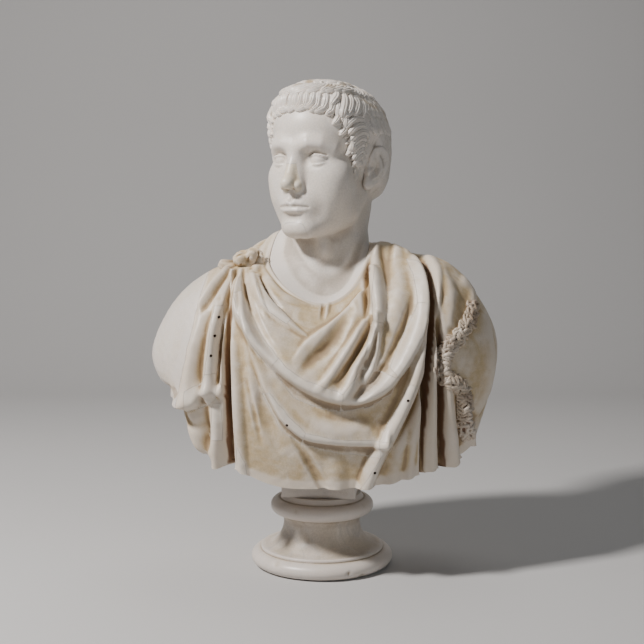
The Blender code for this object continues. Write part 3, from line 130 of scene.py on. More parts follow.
FOLDS = {
    "cloak_lip": Lip(
        [(-137, 322), (-133, 292), (-124, 262), (-95, 221), (-46, 175), (1, 150), (35, 143), (69, 148),
         (101, 168), (136, 217), (151, 256), (157, 287), (157, 315), (148, 340), (133, 350), (111, 355)],
        (7, 11, 14, 17, 18, 18, 15, 12, 9, 8, 5), (10, 12, 16, 28, 40, 34, 18, 15, 14, 14, 14),
        (6, 7, 9, 10, 11, 10, 9, 8, 7, 7, 7), lean=0.40),
    "swag_lip": Lip(
        [(-119, 290), (-112, 253), (-101, 210), (-86, 169), (-76, 151), (-59, 121), (-36, 99), (-16, 90),
         (26, 84), (90, 79)],
        (3, 5, 8, 11, 12, 11, 9), (7, 9, 13, 20, 26, 24, 16), (4, 5, 6, 7, 7, 7, 7), lean=0.40),
    "strip": Ridge(
        [(153, 256), (148, 224), (133, 172), (117, 135), (100, 100), (85, 71), (74, 41), (64, 5)],
        (7, 9, 10, 11, 11), (3, 11, 14, 13, 12), right=1.5, power=1.1, lean=0.15),
    "strip_groove": Cleft([(156, 213), (147, 177), (133, 138), (118, 106), (104, 78)],
                          (4, 6, 6, 5), (4, 9, 9, 2), 0.3),
    "lapel": Ridge([(76, 356), (82, 340), (84, 308), (84, 283), (83, 260)],
                   (9, 10, 11, 11, 9), (8, 11, 12, 12, 7),
                   power=1.0, lean=0.30),
    "lapel_foot": Ridge([(80, 262), (78, 232), (70, 201), (60, 176)],
                        (8, 9, 9, 7), (9, 8, 7, 2), lean=0.2),
    "lapel_gap": Cleft([(69, 343), (68, 312), (66, 284), (64, 262)], (6, 8, 8, 5), (10, 18, 14, 3), 0.2),
    "chest_ridge_a": Ridge([(67, 263), (47, 233), (29, 208), (12, 185), (-6, 166)],
                           (4, 8, 10, 9, 7), (3, 9, 9, 6, 1)),
    "chest_ridge_b": Ridge([(78, 249), (63, 219), (50, 198), (37, 171), (27, 154)],
                           (4, 8, 9, 9, 8), (3, 9, 9, 6, 2)),
    "chest_valley_a": Ridge([(43, 271), (16, 233), (-15, 202), (-34, 185)],
                            (10, 14, 13, 8), (-2, -7, -5, 0), power=1.6),
    "chest_valley_b": Ridge([(69, 253), (51, 217), (33, 190), (17, 162)],
                            (4, 7, 8, 7), (-2, -6, -4, -1), power=1.6),
    "chest_valley_c": Ridge([(79, 244), (71, 207), (55, 174), (43, 154)],
                            (4, 6, 7, 6), (-3, -6, -4, -1), power=1.6),
    "crossing": Lip(
        [(69, 326), (62, 304), (53, 292), (35, 274), (14, 257), (-10, 242), (-26, 230), (-39, 209)],
        (9, 8, 8, 8, 7, 6, 4, 1), (16, 20, 24, 26, 22, 16, 12, 8), (4, 5, 5, 5, 4, 3)),
    "neck_band": Ridge([(-100, 314), (-81, 284), (-58, 264), (-38, 249), (-22, 238)], (12, 12, 9, 6, 3),
                       (4, 6, 6, 5, 2), power=1.0),
    "neck_groove": Cleft([(-91, 318), (-81, 301), (-70, 287), (-57, 275)],
                         (4, 5, 4, 3), (5, 9, 6, 1), 0.2),
    "neck_pinch": Ridge([(3, 280), (0, 258)], (4, 5, 4), (-5, -3, 0), power=1.5),
    "neck_pleat": Ridge([(10, 280), (3, 262)], (4, 5, 3), (4, 3, 0)),
    "neck_hem": Ridge([(-88, 329), (-73, 309), (-56, 293), (-37, 285), (-15, 281), (3, 279)],
                      (5, 5, 5), (2, 3, 2)),
    "chest_soft": Ridge([(-87, 259), (-60, 232), (-28, 212)], (14, 18, 14), (1, 4, 2), power=2.0),
    "roll_valley": Ridge([(-113, 308), (-100, 267), (-81, 233), (-56, 205)],
                         (7, 9, 9, 7), (-4, -7, -6, -1), power=1.5),
    "right_valley": Ridge([(80, 188), (95, 201), (113, 235), (128, 271), (135, 301)], (8, 10, 11, 10, 8),
                          (-2, -6, -7, -5, -1), power=1.5),
    "roll_end_valley": Ridge([(40, 148), (63, 170), (80, 184), (89, 195)],
                             (7, 10, 10, 7), (-2, -9, -9, -3), power=1.5),
    "knot_ray": Cleft([(-118, 328), (-112, 298), (-102, 271)], (3, 5, 4), (3, 6, 1), 0.2),
    "knot_ray_low": Ridge([(-106, 325), (-94, 292), (-80, 264)], (5, 6, 5), (2, 4, 1)),
    "sag_fold": Ridge([(-70, 186), (-36, 140), (11, 112), (62, 108)],
                      (9, 12, 14, 12), (1, 3, 4, 2), power=1.8),
    "panel_pipe": Ridge([(-128, 226), (-124, 168), (-120, 110), (-114, 20)],
                        (8, 10, 10, 10), (2, 5, 5, 4)),
    "panel_fold": Ridge([(-108, 239), (-102, 183), (-95, 111)], (9, 11, 9), (3, 4, 1), power=1.6),
    "panel_streak": Ridge([(-108, 175), (-98, 132), (-86, 74)], (4, 5, 4), (-2, -3, 0), power=1.6),
    "panel_dark": Ridge([(-87, 154), (-78, 119), (-62, 80)], (10, 14, 12), (-2, -4, -1), power=1.8),
    "panel_crease": Ridge([(-42, 92), (-23, 60), (0, 12)],
                          (7, 11, 10), (-1, -6, -5), right=0.7, power=1.5),
    "panel_low": Ridge([(14, 76), (20, 46), (22, 5)], (14, 20, 18), (1, 4, 4), power=1.8),
    "panel_right": Ridge([(120, 96), (110, 60), (100, 10)], (12, 15, 14), (1, 5, 5), power=1.8),
    "strip_flute": Ridge([(150, 190), (141, 140), (132, 88), (126, 5)], (6, 9, 10), (2, 6, 5), power=1.4),
    "cleft_right": Cleft([(-127, 324), (-131, 289), (-137, 245), (-137, 186), (-135, 116), (-133, 0)],
                         (5, 6, 7, 7, 7, 7), (8, 18, 26, 28, 28, 28), 0.15),
    "cleft_flute": Cleft([(-130, 322), (-139, 287), (-146, 244), (-149, 209), (-151, 170)],
                         (4, 6, 6, 6, 5),
                         (5, 12, 18, 18, 10), 0.3),
    "flute_f": Ridge([(-143, 286), (-143, 230), (-142, 172)], (4, 5, 5), (3, 8, 8)),
    "hang_b": Ridge([(-150, 280), (-157, 231), (-161, 188), (-162, 146)],
                    (6, 8, 9, 9), (3, 8, 9, 9), power=1.0),
    "hang_gap": Cleft([(-160, 266), (-168, 222), (-173, 184), (-174, 146)],
                      (4, 5, 5, 5), (2, 6, 7, 7), 0.2),
    "hang_a": Ridge([(-171, 268), (-182, 222), (-189, 178), (-194, 136)], (7, 9, 10, 10), (2, 5, 6, 6)),
    "hang_c": Ridge([(-183, 130), (-181, 108), (-179, 76)], (8, 10, 9), (3, 7, 7), power=1.0),
    "hang_e": Ridge([(-156, 144), (-153, 100), (-152, 10)], (8, 9, 9), (3, 10, 10), power=1.0),
    "hang_slit": Cleft([(-167, 147), (-166, 100), (-167, 50)], (4, 5, 5), (4, 9, 8), 0.2),
    "hem_outer": Lip(
        [(-216, 129), (-193, 133), (-181, 136), (-174, 145), (-169, 151), (-154, 152), (-146, 150)],
        (10, 11, 11, 9, 8), (16, 14, 12, 14), (3, 3), lean=0.35),
    "hem_second": Lip([(-201, 107), (-184, 93), (-169, 76)], (8, 9, 6), (12, 12), (3, 3), lean=0.35),
    "hem_third": Lip([(-204, 72), (-183, 73), (-163, 79)], (6, 6, 4), (10, 10), (3, 3), lean=0.35),
    "shoulder_fold": Ridge([(-142, 328), (-161, 302), (-178, 274)], (5, 7, 5), (4, 6, 4)),
    "shoulder_pinch": Cleft([(-138, 324), (-154, 297), (-171, 268)], (3, 4, 4), (3, 7, 4), 0.2),
    "arm_edge": Lip(
        [(-147, 328), (-163, 307), (-179, 281), (-182, 255), (-190, 220), (-198, 182), (-206, 148),
         (-210, 126)],
        (3, 6, 7, 8, 9), (34, 34), (3, 4, 4), lean=0.25),
    "cleft_left": Cleft(
        [(148, 352), (158, 326), (161, 286), (158, 238), (153, 196), (149, 145), (147, 86), (147, 0)],
        (9, 9, 8, 8, 7, 5, 4, 4), (12, 20, 26, 28, 26, 20, 16, 14), 0.10),
    "cleft_second": Cleft([(167, 290), (170, 252), (172, 214), (173, 166), (175, 99), (183, 0)],
                          (3, 6, 7, 7, 7, 7),
                          (3, 18, 26, 26, 25, 24), 0.15),
    "arm_fold": Ridge([(155, 347), (169, 339), (170, 308), (167, 265)], (9, 9, 7, 5), (2, 4, 5, 2)),
    "flute_left": Ridge([(166, 292), (164, 223), (161, 145), (163, 10)], (5, 6, 7, 8), (2, 5, 5, 4)),
    "arm_panel": Ridge([(185, 163), (190, 100), (202, 10)], (8, 10, 10), (3, 8, 8)),
    "arm_panel_gap": Cleft([(197, 154), (204, 96), (221, 25)], (4, 5, 5), (2, 8, 8), 0.2),
    "arm_panel_outer": Ridge([(207, 146), (216, 93), (233, 35)], (6, 8, 8), (2, 6, 6)),
    "fringe": Ridge(
        [(215, 312), (226, 296), (224, 276), (218, 259), (208, 245), (195, 233), (184, 221), (177, 204),
         (173, 187), (180, 174), (194, 168), (205, 155), (210, 137), (209, 116), (214, 93), (222, 72)],
        (9, 10, 9), (3, 4, 4)),
    "shoulder_smooth": Ridge([(180, 330), (189, 295), (187, 255)], (12, 16, 12), (2, 5, 2), power=1.8),
    "arm_line": Lip([(239, 113), (253, 142), (259, 193), (256, 230), (250, 262)],
                    (2, 5, 3), (16, 16), (3, 3)),
    "cloak_top": Ridge([(76, 360), (100, 358), (124, 353)], (15, 17, 12), (9, 10, 5)),
    "cloak_fall": Ridge([(112, 342), (112, 301), (104, 253)], (12, 18, 14), (2, 5, 2), power=2.0),
    "band_low": Ridge([(-100, 332), (-86, 340), (-70, 346)], (7, 8, 7), (4, 5, 4)),
}

# Clefts that the columns of the torso's grid follow, from the sitter's right to the left
DEEP_CLEFTS = ("cleft_right", "cleft_left", "cleft_second")

# How much of their drawn height and of their lean ridges and lips get
FOLD_GAIN = 1.2
FOLD_LEAN = 0.5

# Curls of the fringed edge lie along this path in ragged rows, set off to its right in millimetres
FRINGE_PATH = FOLDS["fringe"].path
FRINGE_SPAN = (0.13, 0.97)
FRINGE_PLACES = 53
FRINGE_ROWS = (-8.0, -1.0, 6.0)
CURL_PATINA = 0.40

# Outlines of the inset patches, seen from the front
PATCHES = {
    "roll_left": [(-114, 302), (-106, 274), (-87, 239), (-62, 210), (-74, 195), (-100, 225), (-121, 267),
                  (-129, 299)],
    "roll_centre": [(-62, 210), (-49, 196), (-23, 179), (30, 160), (26, 131), (-5, 137), (-41, 153),
                    (-74, 195)],
    "roll_right": [(56, 193), (78, 190), (112, 180), (99, 156), (69, 138), (26, 131), (30, 160)],
    "roll_upper": [(97, 196), (118, 239), (139, 285), (158, 285), (145, 230), (126, 195), (112, 180)],
    "shoulder_roll": [(126, 345), (135, 326), (139, 285), (158, 285), (158, 324), (144, 343)],
    "lapel_upper": [(78, 340), (88, 338), (95, 296), (96, 275), (89, 257), (73, 262), (72, 299)],
    "lapel_lower": [(73, 262), (89, 257), (85, 229), (78, 190), (56, 193), (65, 231)],
    "swag_left": [(-86, 157), (-75, 160), (-46, 125), (-23, 103), (-30, 84), (-58, 104)],
    "swag_bottom": [(-23, 103), (26, 93), (82, 90), (84, 65), (26, 70), (-30, 84)],
    "swag_strip_upper": [(125, 172), (136, 168), (107, 90), (82, 90)],
    "swag_strip_lower": [(82, 90), (107, 90), (84, 45), (74, 18), (56, 18), (84, 65)],
    "neckline_patch": [(-97, 313), (-86, 308), (-67, 282), (-45, 262), (-51, 255), (-75, 271), (-90, 291)],
    "corner_patch": [(-123, 76), (-112, 54), (-106, 0), (-130, 0), (-128, 42)],
    "hanging_strip": [(-157, 280), (-143, 280), (-152, 184), (-169, 184)],
    "hanging_tip_outer": [(-200, 158), (-174, 169), (-169, 184), (-152, 184), (-154, 145), (-171, 135),
                          (-200, 126)],
    "hanging_tip_inner": [(-158, 140), (-146, 140), (-144, 86), (-164, 86)],
}
ARM_OUTLINE = [(-320, 400), (-176, 400), (-172, 330), (-184, 280), (-190, 248), (-198, 214), (-206, 180),
               (-212, 150), (-214, 40), (-320, 40)]
FOLD_PINS = {
    "strip_pin_upper": ("swag_strip_upper", (123, 148)),
    "strip_pin_lower": ("swag_strip_lower", (76, 43)),
    "swag_pin": ("swag_left", (-50, 114)),
    "hanging_pin_upper": ("hanging_strip", (-150, 264)),
    "hanging_pin_middle": ("hanging_strip", (-155, 238)),
    "hanging_pin_lower": ("hanging_strip", (-160, 210)),
}
HIDDEN_IRONS = ("socle_dowel", "neck_dowel", "arm_dowel", "nose_pin", "chin_pin", "knot_pin")

# Steps of the lower edge: x, and how far the edge moves up
HEM_STEPS = [(-244, 0), (-232, 14), (-220, 29), (-209, 23), (-204, 12), (-197, 4), (-188, -8), (-175, -14),
             (-163, -20), (-151, -14), (-139, -7), (-134, -2), (-127, -1), (-112, 3), (-90, 4), (-60, 5),
             (0, 6), (60, 7), (120, 6), (170, 3), (184, -3), (198, -4), (212, 0), (226, 12), (240, 5),
             (256, 0)]


# Curves and easing

def spline(points, share):
    """Catmull-Rom curve through the points, at shares from 0 to 1 of its length in points."""
    points = np.asarray(points, float)
    spans = len(points) - 1
    place = np.clip(np.asarray(share, float), 0.0, 1.0) * spans
    index = np.minimum(place.astype(int), spans - 1)
    u = (place - index)[..., None]
    padded = np.vstack([2 * points[0] - points[1], points, 2 * points[-1] - points[-2]])
    a, b, c, d = (padded[index + k] for k in range(4))
    return 0.5 * (2 * b + (c - a) * u + (2 * a - 5 * b + 4 * c - d) * u**2 + (3 * b - a - 3 * c + d) * u**3)


def unit(vectors):
    """Vectors drawn to length one."""
    return vectors / np.linalg.norm(vectors, axis=-1, keepdims=True)


def turned(points, angle):
    """Points turned about the z axis."""
    c = math.cos(angle)
    s = math.sin(angle)
    x, y, z = np.moveaxis(points, -1, 0)
    return np.stack([x * c - y * s, x * s + y * c, z], -1)


def ease(low, high, value):
    """Smooth step 3u^2 - 2u^3 from low to high."""
    u = np.clip((value - low) / (high - low), 0.0, 1.0)
    return u * u * (3.0 - 2.0 * u)


def spread(count, centres, width, gain):
    """Angles round the axis, closer together near the centres."""
    fine = np.linspace(-math.pi, math.pi, 4001)
    density = np.ones_like(fine)
    for centre in centres:
        away = np.abs((fine - centre + math.pi) % (2 * math.pi) - math.pi)
        density += gain * np.exp(-((away / width) ** 2))
    total = np.concatenate([[0.0], np.cumsum(0.5 * (density[1:] + density[:-1]))])
    return np.interp(np.arange(count) / count, total / total[-1], fine)


def ripple(p, pitch, seed):
    """Smooth pseudo-random field from -1 to 1: a sum of sines in seeded directions, pitch apart."""
    rng = np.random.default_rng(seed)
    total = np.zeros(p.shape[:-1])
    for _ in range(9):
        wave = rng.normal(size=p.shape[-1])
        wave *= rng.uniform(0.6, 1.5) * 2 * math.pi / pitch / np.linalg.norm(wave)
        total += np.sin(p @ wave + rng.uniform(0, 2 * math.pi))
    return total / 3.5


# Cloth relief

def along(x, z, path):
    """Share along a path, signed distance (left of its direction is positive), run past its ends, and the
    unit direction to its right."""
    curve = spline(path, np.linspace(0.0, 1.0, 10 * len(path)))
    length = np.concatenate([[0.0], np.cumsum(np.hypot(*np.diff(curve, axis=0).T))])
    nearest = np.full(x.shape, np.inf)
    share = np.zeros(x.shape)
    side = np.ones(x.shape)
    past = np.zeros(x.shape)
    right = np.zeros(x.shape + (2,))
    for i, (start, end) in enumerate(zip(curve[:-1], curve[1:])):
        step = end - start
        size = math.hypot(*step)
        run = ((x - start[0]) * step[0] + (z - start[1]) * step[1]) / size
        u = np.clip(run / size, 0.0, 1.0)
        dx = x - start[0] - u * step[0]
        dz = z - start[1] - u * step[1]
        square = dx * dx + dz * dz
        closer = square < nearest
        nearest = np.where(closer, square, nearest)
        share = np.where(closer, (length[i] + u * size) / length[-1], share)
        side = np.where(closer, np.sign(step[0] * dz - step[1] * dx), side)
        past = np.where(closer, np.abs(run - u * size), past)
        right[closer] = (step[1] / size, -step[0] / size)
    return share, side * np.sqrt(nearest), past, right


def value_at(values, share):
    """Value at a share of the way through an even list."""
    return np.interp(share, np.linspace(0.0, 1.0, len(values)), values)


def fold_relief(fold, x, z):
    """Height and sideways push in millimetres that one fold gives at x, z. A ridge is (1 - q^2)^power with q
    the distance over its half width, a cleft the same downwards with its walls pushed together, and a lip
    rises as a quarter sine over its rounding and falls off as a bell over its reach."""
    share, distance, past, right = along(x, z, fold.path)
    if isinstance(fold, Lip):
        around = value_at(fold.around, share)
        up = np.sin(0.5 * math.pi * np.clip((distance + 0.4 * around) / (1.4 * around), 0.0, 1.0)) ** 1.3
        fall = np.exp(-((np.maximum(distance - around, 0.0) / value_at(fold.reach, share)) ** 2))
        height = value_at(fold.height, share) * up * fall * (1.0 - ease(0.0, 8.0, past))
        return height, right * (fold.lean * height)[..., None]
    width = value_at(fold.width, share)
    if isinstance(fold, Cleft):
        q = np.abs(distance) / width
        height = -value_at(fold.depth, share) * np.clip(1.0 - q * q, 0.0, 1.0) ** 1.3
        mouth_push = fold.pinch * width * np.exp(-(((q - 0.95) / 0.38) ** 2)) * np.sign(distance)
        return height, right * (mouth_push * (1.0 - ease(0.0, 6.0, past)))[..., None]
    q = distance / (width * np.where(distance > 0, fold.left, fold.right))
    height = value_at(fold.height, share) * np.clip(1.0 - q * q, 0.0, 1.0) ** fold.power
    return height, right * (fold.lean * height)[..., None]


def curl_bars(outside):
    """Skin of the curls of the fringed edge: tapered round bars along short bent strokes, centre + heading
    times s + sway times sin(turn s), laid on the torso's outside in ragged rows along the fringe."""
    rng = np.random.default_rng(5)
    places = outside.reshape(-1, 3)
    normals = outward(outside).reshape(-1, 3)
    front = (places[:, 0] > 0.14) & (places[:, 1] < 0.04)
    places, normals = places[front], normals[front]
    curve = spline(FRINGE_PATH, np.linspace(*FRINGE_SPAN, FRINGE_PLACES))
    share = np.linspace(-0.5, 0.5, 15)[:, None]
    around = np.arange(10) * 2 * math.pi / 10
    curls = []
    for centre, along_path in zip(curve, unit(np.gradient(curve, axis=0))):
        aside = np.array((along_path[1], -along_path[0]))
        for row in FRINGE_ROWS:
            tilt = rng.normal(0.0, 0.55)
            heading = along_path * math.cos(tilt) + aside * math.sin(tilt)
            bend = rng.uniform(1.8, 3.8) * rng.choice((-1.0, 1.0))
            wave = np.sin(2 * math.pi * share * rng.uniform(0.6, 1.3) + rng.uniform(-0.7, 0.7))
            stroke = centre + aside * (row + rng.normal(0.0, 1.4)) + heading * rng.uniform(10, 17) * share
            stroke = stroke + np.array((-heading[1], heading[0])) * bend * wave
            x, z = stroke[:, 0] * MM, SEAT + stroke[:, 1] * MM
            nearest = np.argmin((places[:, 0] - x[:, None]) ** 2 + (places[:, 2] - z[:, None]) ** 2, axis=1)
            y = np.convolve(np.pad(places[nearest, 1], 2, mode="edge"), np.full(5, 0.2), "valid")
            thick = MM * rng.uniform(2.1, 3.4) * (0.40 + 0.60 * np.cos(math.pi * 0.98 * share) ** 0.7)
            normal = normals[nearest]
            spine = np.stack([x, y, z], -1) + normal * 0.4 * thick
            tangent, across, out = bar_axes(spine, normal)
            ring = np.cos(around)[:, None] * out[:, None] - np.sin(around)[:, None] * across[:, None]
            curls.append(pointed_bar(spine[:, None] + thick[:, None] * ring, spine, 0.4 * thick, tangent))
    return joined(curls)


def cloth_relief(points):
    """Height and sideways push in metres of all folds together over points of the bare torso."""
    x = points[..., 0] / MM
    z = (points[..., 2] - SEAT) / MM
    height = np.zeros(x.shape)
    push = np.zeros(x.shape + (2,))
    for fold in FOLDS.values():
        path = np.array(fold.path, float)
        margin = 2.6 * max(fold.reach) + 10 if isinstance(fold, Lip) else 2.2 * max(fold.width)
        low = path.min(0) - margin
        high = path.max(0) + margin
        near = (x > low[0]) & (x < high[0]) & (z > low[1]) & (z < high[1])
        h, p = fold_relief(fold, x[near], z[near])
        height[near] += h if isinstance(fold, Cleft) else FOLD_GAIN * h
        push[near] += p if isinstance(fold, Cleft) else FOLD_LEAN * p
    return MM * height, MM * push


# Torso block

def bare_torso(angle, share):
    """Point of the undraped torso: four section curves lofted round the axis on a superellipse plan."""
    c = np.cos(angle)
    s = np.sin(angle)
    ahead = (c > 0)[..., None]
    leftwards = (s > 0)[..., None]
    fore = np.where(ahead, spline(FRONT_SECTION, share), spline(BACK_SECTION, share))
    flank = np.where(leftwards, spline(LEFT_SECTION, share), spline(RIGHT_SECTION, share))
    fore_reach = fore[..., 0] * np.where(c > 0, CHEST_REACH, BACK_REACH)
    flank_reach = flank[..., 0] * np.where(s > 0, LEFT_REACH, RIGHT_REACH)
    bend = np.where(c > 0, 2.0 + 2.0 * share**2, 5.0 - 2.5 * share)
    weight = np.abs(s) ** bend
    height = fore[..., 1] * (1.0 - weight) + flank[..., 1] * weight
    for middle, width, rise in COLLAR_RISES:
        away = np.degrees(np.angle(np.exp(1j * (angle - math.radians(middle))))) / width
        height = height + rise * np.exp(-(away**2)) * (1.0 - share) ** 5
    plan = (np.abs(c) / fore_reach) ** PLAN_POWER + (np.abs(s) / flank_reach) ** PLAN_POWER
    radius = plan ** (-1 / PLAN_POWER)
    return np.stack([radius * s, -radius * c, SEAT + height], -1)


def outward(points):
    """Unit normals of a closed ring grid whose rows run down the outside."""
    wide = np.concatenate([points[:, -1:], points, points[:, :1]], axis=1)
    across = 0.5 * (wide[:, 2:] - wide[:, :-2])
    down = np.gradient(points, axis=0)
    return unit(np.cross(down, across))


def soften(grid, rounds):
    """Grid of closed rings with every inner point drawn half way to the mean of its four neighbours."""
    for _ in range(rounds):
        beside = np.roll(grid, 1, axis=1) + np.roll(grid, -1, axis=1)
        inner = grid[1:-1] + 0.5 * (0.25 * (beside[1:-1] + grid[2:] + grid[:-2]) - grid[1:-1])
        grid = np.concatenate([grid[:1], inner, grid[-1:]])
    return grid


def follow_clefts(angles, shares):
    """Angles of every row, drawn aside so that the same columns run down the deep clefts; above and below a
    cleft its columns hold on at the angle of its end."""
    fine = np.linspace(math.radians(-95), math.radians(95), 800)
    row = bare_torso(*np.meshgrid(fine, shares))
    height = (row[..., 2] - SEAT) / MM
    order = np.arange(len(shares))
    turns = []
    for name in DEEP_CLEFTS:
        path = spline(FOLDS[name].path, np.linspace(0.0, 1.0, 80))[::-1]
        off = np.abs(row[..., 0] / MM - np.interp(height, path[:, 1], path[:, 0]))
        best = np.argmin(off, axis=1)
        at = height[order, best]
        met = (off[order, best] < 2.0) & (at > path[0, 1]) & (at < path[-1, 1])
        turns.append(np.interp(order, order[met], fine[best[met]]))
    turns = np.array(turns).T
    turns[:, 1] = np.minimum(turns[:, 1], turns[:, 2] - math.radians(6))
    for _ in range(60):
        turns[1:-1] += 0.25 * (turns[2:] + turns[:-2] - 2.0 * turns[1:-1])
    ends = np.array((-math.pi, math.radians(-115)))
    home = np.concatenate([ends, turns.mean(0), -ends[::-1]])
    return np.array([np.interp(angles, home, np.concatenate([ends, turn, -ends[::-1]])) for turn in turns])


def draped_skin(angle, share):
    """Outer surface from the neck opening down to the stepped lower edge: the bare torso plus its folds
    along the normal, leaning folds pushed sideways, all softened; then two rolls of cloth behind the knot
    and a raised hem round the neck, each a bell over the share, and wear."""
    bare = bare_torso(angle, share)
    front = ease(-0.15, 0.15, np.cos(angle))
    hold = front * ease(0.0, 0.06, share)
    height, push = cloth_relief(bare)
    skin = bare + outward(bare) * (height * hold)[..., None]
    skin[..., 0] += push[..., 0] * hold
    skin[..., 2] += push[..., 1] * hold
    steps_x, steps_z = np.array(HEM_STEPS, float).T * MM
    skin[..., 2] += np.interp(skin[..., 0], steps_x, steps_z, 0.0, 0.0) * front * ease(0.80, 1.0, share)
    skin = soften(skin, 4)
    beside = np.degrees(angle) - COLLAR_RISES[0][0]
    rolls = np.exp(-(((share - 0.07) / 0.035) ** 2)) + np.exp(-(((share - 0.18) / 0.040) ** 2))
    worn = 0.0006 * ripple(bare, 0.05, 3) + 0.0002 * ripple(bare, 0.012, 4)
    lift = 0.0045 * rolls * np.exp(-((beside / 32.0) ** 2)) + worn * ease(0.0, 0.06, share)
    lift = lift + 0.0035 * np.exp(-(((share - 0.012) / 0.016) ** 2)) * ease(-0.4, 0.1, np.cos(angle))
    return skin + outward(bare) * lift[..., None]


def socket_rows(angles, shrink):
    """Rows of the neck socket from its floor up to its brim; shrink makes the tenon that fits in it."""
    brim = bare_torso(angles, np.zeros_like(angles))
    rows = []
    for turn in (0.0, 0.38, 0.70):
        rise = 1.0 - math.cos(0.5 * math.pi * turn)
        open_out = math.sin(0.5 * math.pi * turn)
        radius = np.hypot(brim[:, 0], brim[:, 1])
        scale = (SOCKET_FLOOR_RADIUS + (radius - SOCKET_FLOOR_RADIUS) * open_out - shrink) / radius
        height = SEAT + SOCKET_FLOOR + shrink
        height = height + (brim[:, 2] - height) * rise
        rows.append(np.stack([brim[:, 0] * scale, brim[:, 1] * scale, height], -1))
    edge = 1.0 - shrink / np.hypot(brim[:, 0], brim[:, 1])
    rows.append(np.stack([brim[:, 0] * edge, brim[:, 1] * edge, brim[:, 2]], -1))
    return rows


def hollow_rows(angles, rim):
    """Rows of the hollow back, from the lower edge's inner line up to its ceiling."""
    wall = np.where(np.cos(angles) > 0, FRONT_WALL, BACK_WALL)
    wall = wall + (SIDE_WALL - wall) * np.sin(angles) ** 2
    radius = np.hypot(rim[:, 0], rim[:, 1])
    ceiling = SEAT + HOLLOW_TOP
    rows = []
    for turn in np.linspace(0.0, 0.92, 9):
        scale = (radius - wall) / radius * math.cos(0.5 * math.pi * turn) ** 0.8
        height = rim[:, 2] + (ceiling - rim[:, 2]) * math.sin(0.5 * math.pi * turn)
        row = np.stack([rim[:, 0] * scale, rim[:, 1] * scale, height], -1)
        row += 0.0012 * ripple(row, 0.03, 8)[:, None] * np.array((0.5, 0.5, 0.3)) * (turn > 0)
        rows.append(row)
    return rows


def torso_mesh(columns, rows):
    """Closed skin of the torso block, socket, draped outside, lower edge and hollow back, and the grid of
    its outside."""
    even = spread(columns, (math.radians(-52), math.radians(0), math.radians(56)), 0.60, 4.0)
    shares = np.linspace(0.0, 1.0, rows)
    angle = follow_clefts(even, shares)
    outside = draped_skin(angle, shares[:, None] + 0 * angle)
    bare_rim = bare_torso(angle[-1], np.ones(columns))
    skins = socket_rows(angle[0], 0.0)[:-1] + list(outside) + hollow_rows(angle[-1], bare_rim)
    floor = (0.0, 0.0, SEAT + SOCKET_FLOOR)
    ceiling = (0.0, 0.0, SEAT + HOLLOW_TOP)
    return ring_skin(skins, floor, ceiling, rising=False), outside


def pillar_mesh():
    """Skin of the back pillar: a square plan stretched to its width and depth, carried up into the block."""
    plan = square_ring(96) * (0.5 * PILLAR_WIDTH, 0.5 * PILLAR_DEPTH)
    levels = np.linspace(SEAT, SEAT + 0.5 * (HOLLOW_TOP + SOCKET_FLOOR), 24)
    rows = [np.column_stack([plan, np.full(len(plan), level)]) for level in levels]
    return ring_skin(rows, (0, 0, levels[0]), (0, 0, levels[-1]), rising=True)


# Head, a smooth union of plain volumes in its own frame: eyes at z = 0, face towards -y

def ellipsoid(p, centre, radii):
    """Distance to an ellipsoid, near its surface."""
    q = p - np.array(centre)
    radii = np.array(radii)
    near = np.linalg.norm(q / radii, axis=-1)
    slope = np.linalg.norm(q / radii**2, axis=-1)
    return near * (near - 1.0) / (slope + 1e-9)


def chain(p, points, radii):
    """Distance to tapered round bars set end to end."""
    least = np.full(p.shape[:-1], np.inf)
    for a, b, ra, rb in zip(points[:-1], points[1:], radii[:-1], radii[1:]):
        a = np.array(a)
        bar = np.array(b) - a
        u = np.clip(((p - a) @ bar) / (bar @ bar), 0.0, 1.0)
        least = np.minimum(least, np.linalg.norm(p - a - u[..., None] * bar, axis=-1) - (ra + (rb - ra) * u))
    return least


def join(a, b, blend):
    """Union of two volumes, rounded where they meet: the lesser distance less blend times h(1 - h)."""
    h = np.clip(0.5 + 0.5 * (b - a) / blend, 0.0, 1.0)
    return b * (1.0 - h) + a * h - blend * h * (1.0 - h)


def carve(a, b, blend):
    """First volume less the second, with a rounded edge."""
    return -join(-a, b, blend)


def skull(p, q):
    """Cranium, face mass, cheekbones, jaw and chin; q is p mirrored to one side."""
    d = ellipsoid(p, (0, 0.012, 0.030), (0.0765, 0.0965, 0.083))
    d = join(d, ellipsoid(p, (0, 0.043, -0.020), (0.059, 0.053, 0.055)), 0.030)
    d = join(d, ellipsoid(p, (0, -0.030, -0.034), (0.0575, 0.0605, 0.078)), 0.024)
    d = join(d, ellipsoid(p, (0, -0.029, 0.050), (0.064, 0.061, 0.050)), 0.022)
    d = join(d, ellipsoid(q, (0.043, -0.049, -0.022), (0.022, 0.022, 0.018)), 0.028)
    d = join(d, ellipsoid(q, (0.036, -0.044, -0.052), (0.026, 0.030, 0.034)), 0.026)
    d = join(d, chain(q, [(0.049, 0.004, -0.056), (0.046, -0.012, -0.077), (0.015, -0.073, -0.0985)],
                      [0.013, 0.0145, 0.0145]), 0.026)
    return join(d, ellipsoid(p, (0, -0.0775, -0.0985), (0.0205, 0.0175, 0.0150)), 0.014)


EYE_PLACE = np.array((0.0320, -0.0690, 0.0))
EYE_RADIUS = 0.0130


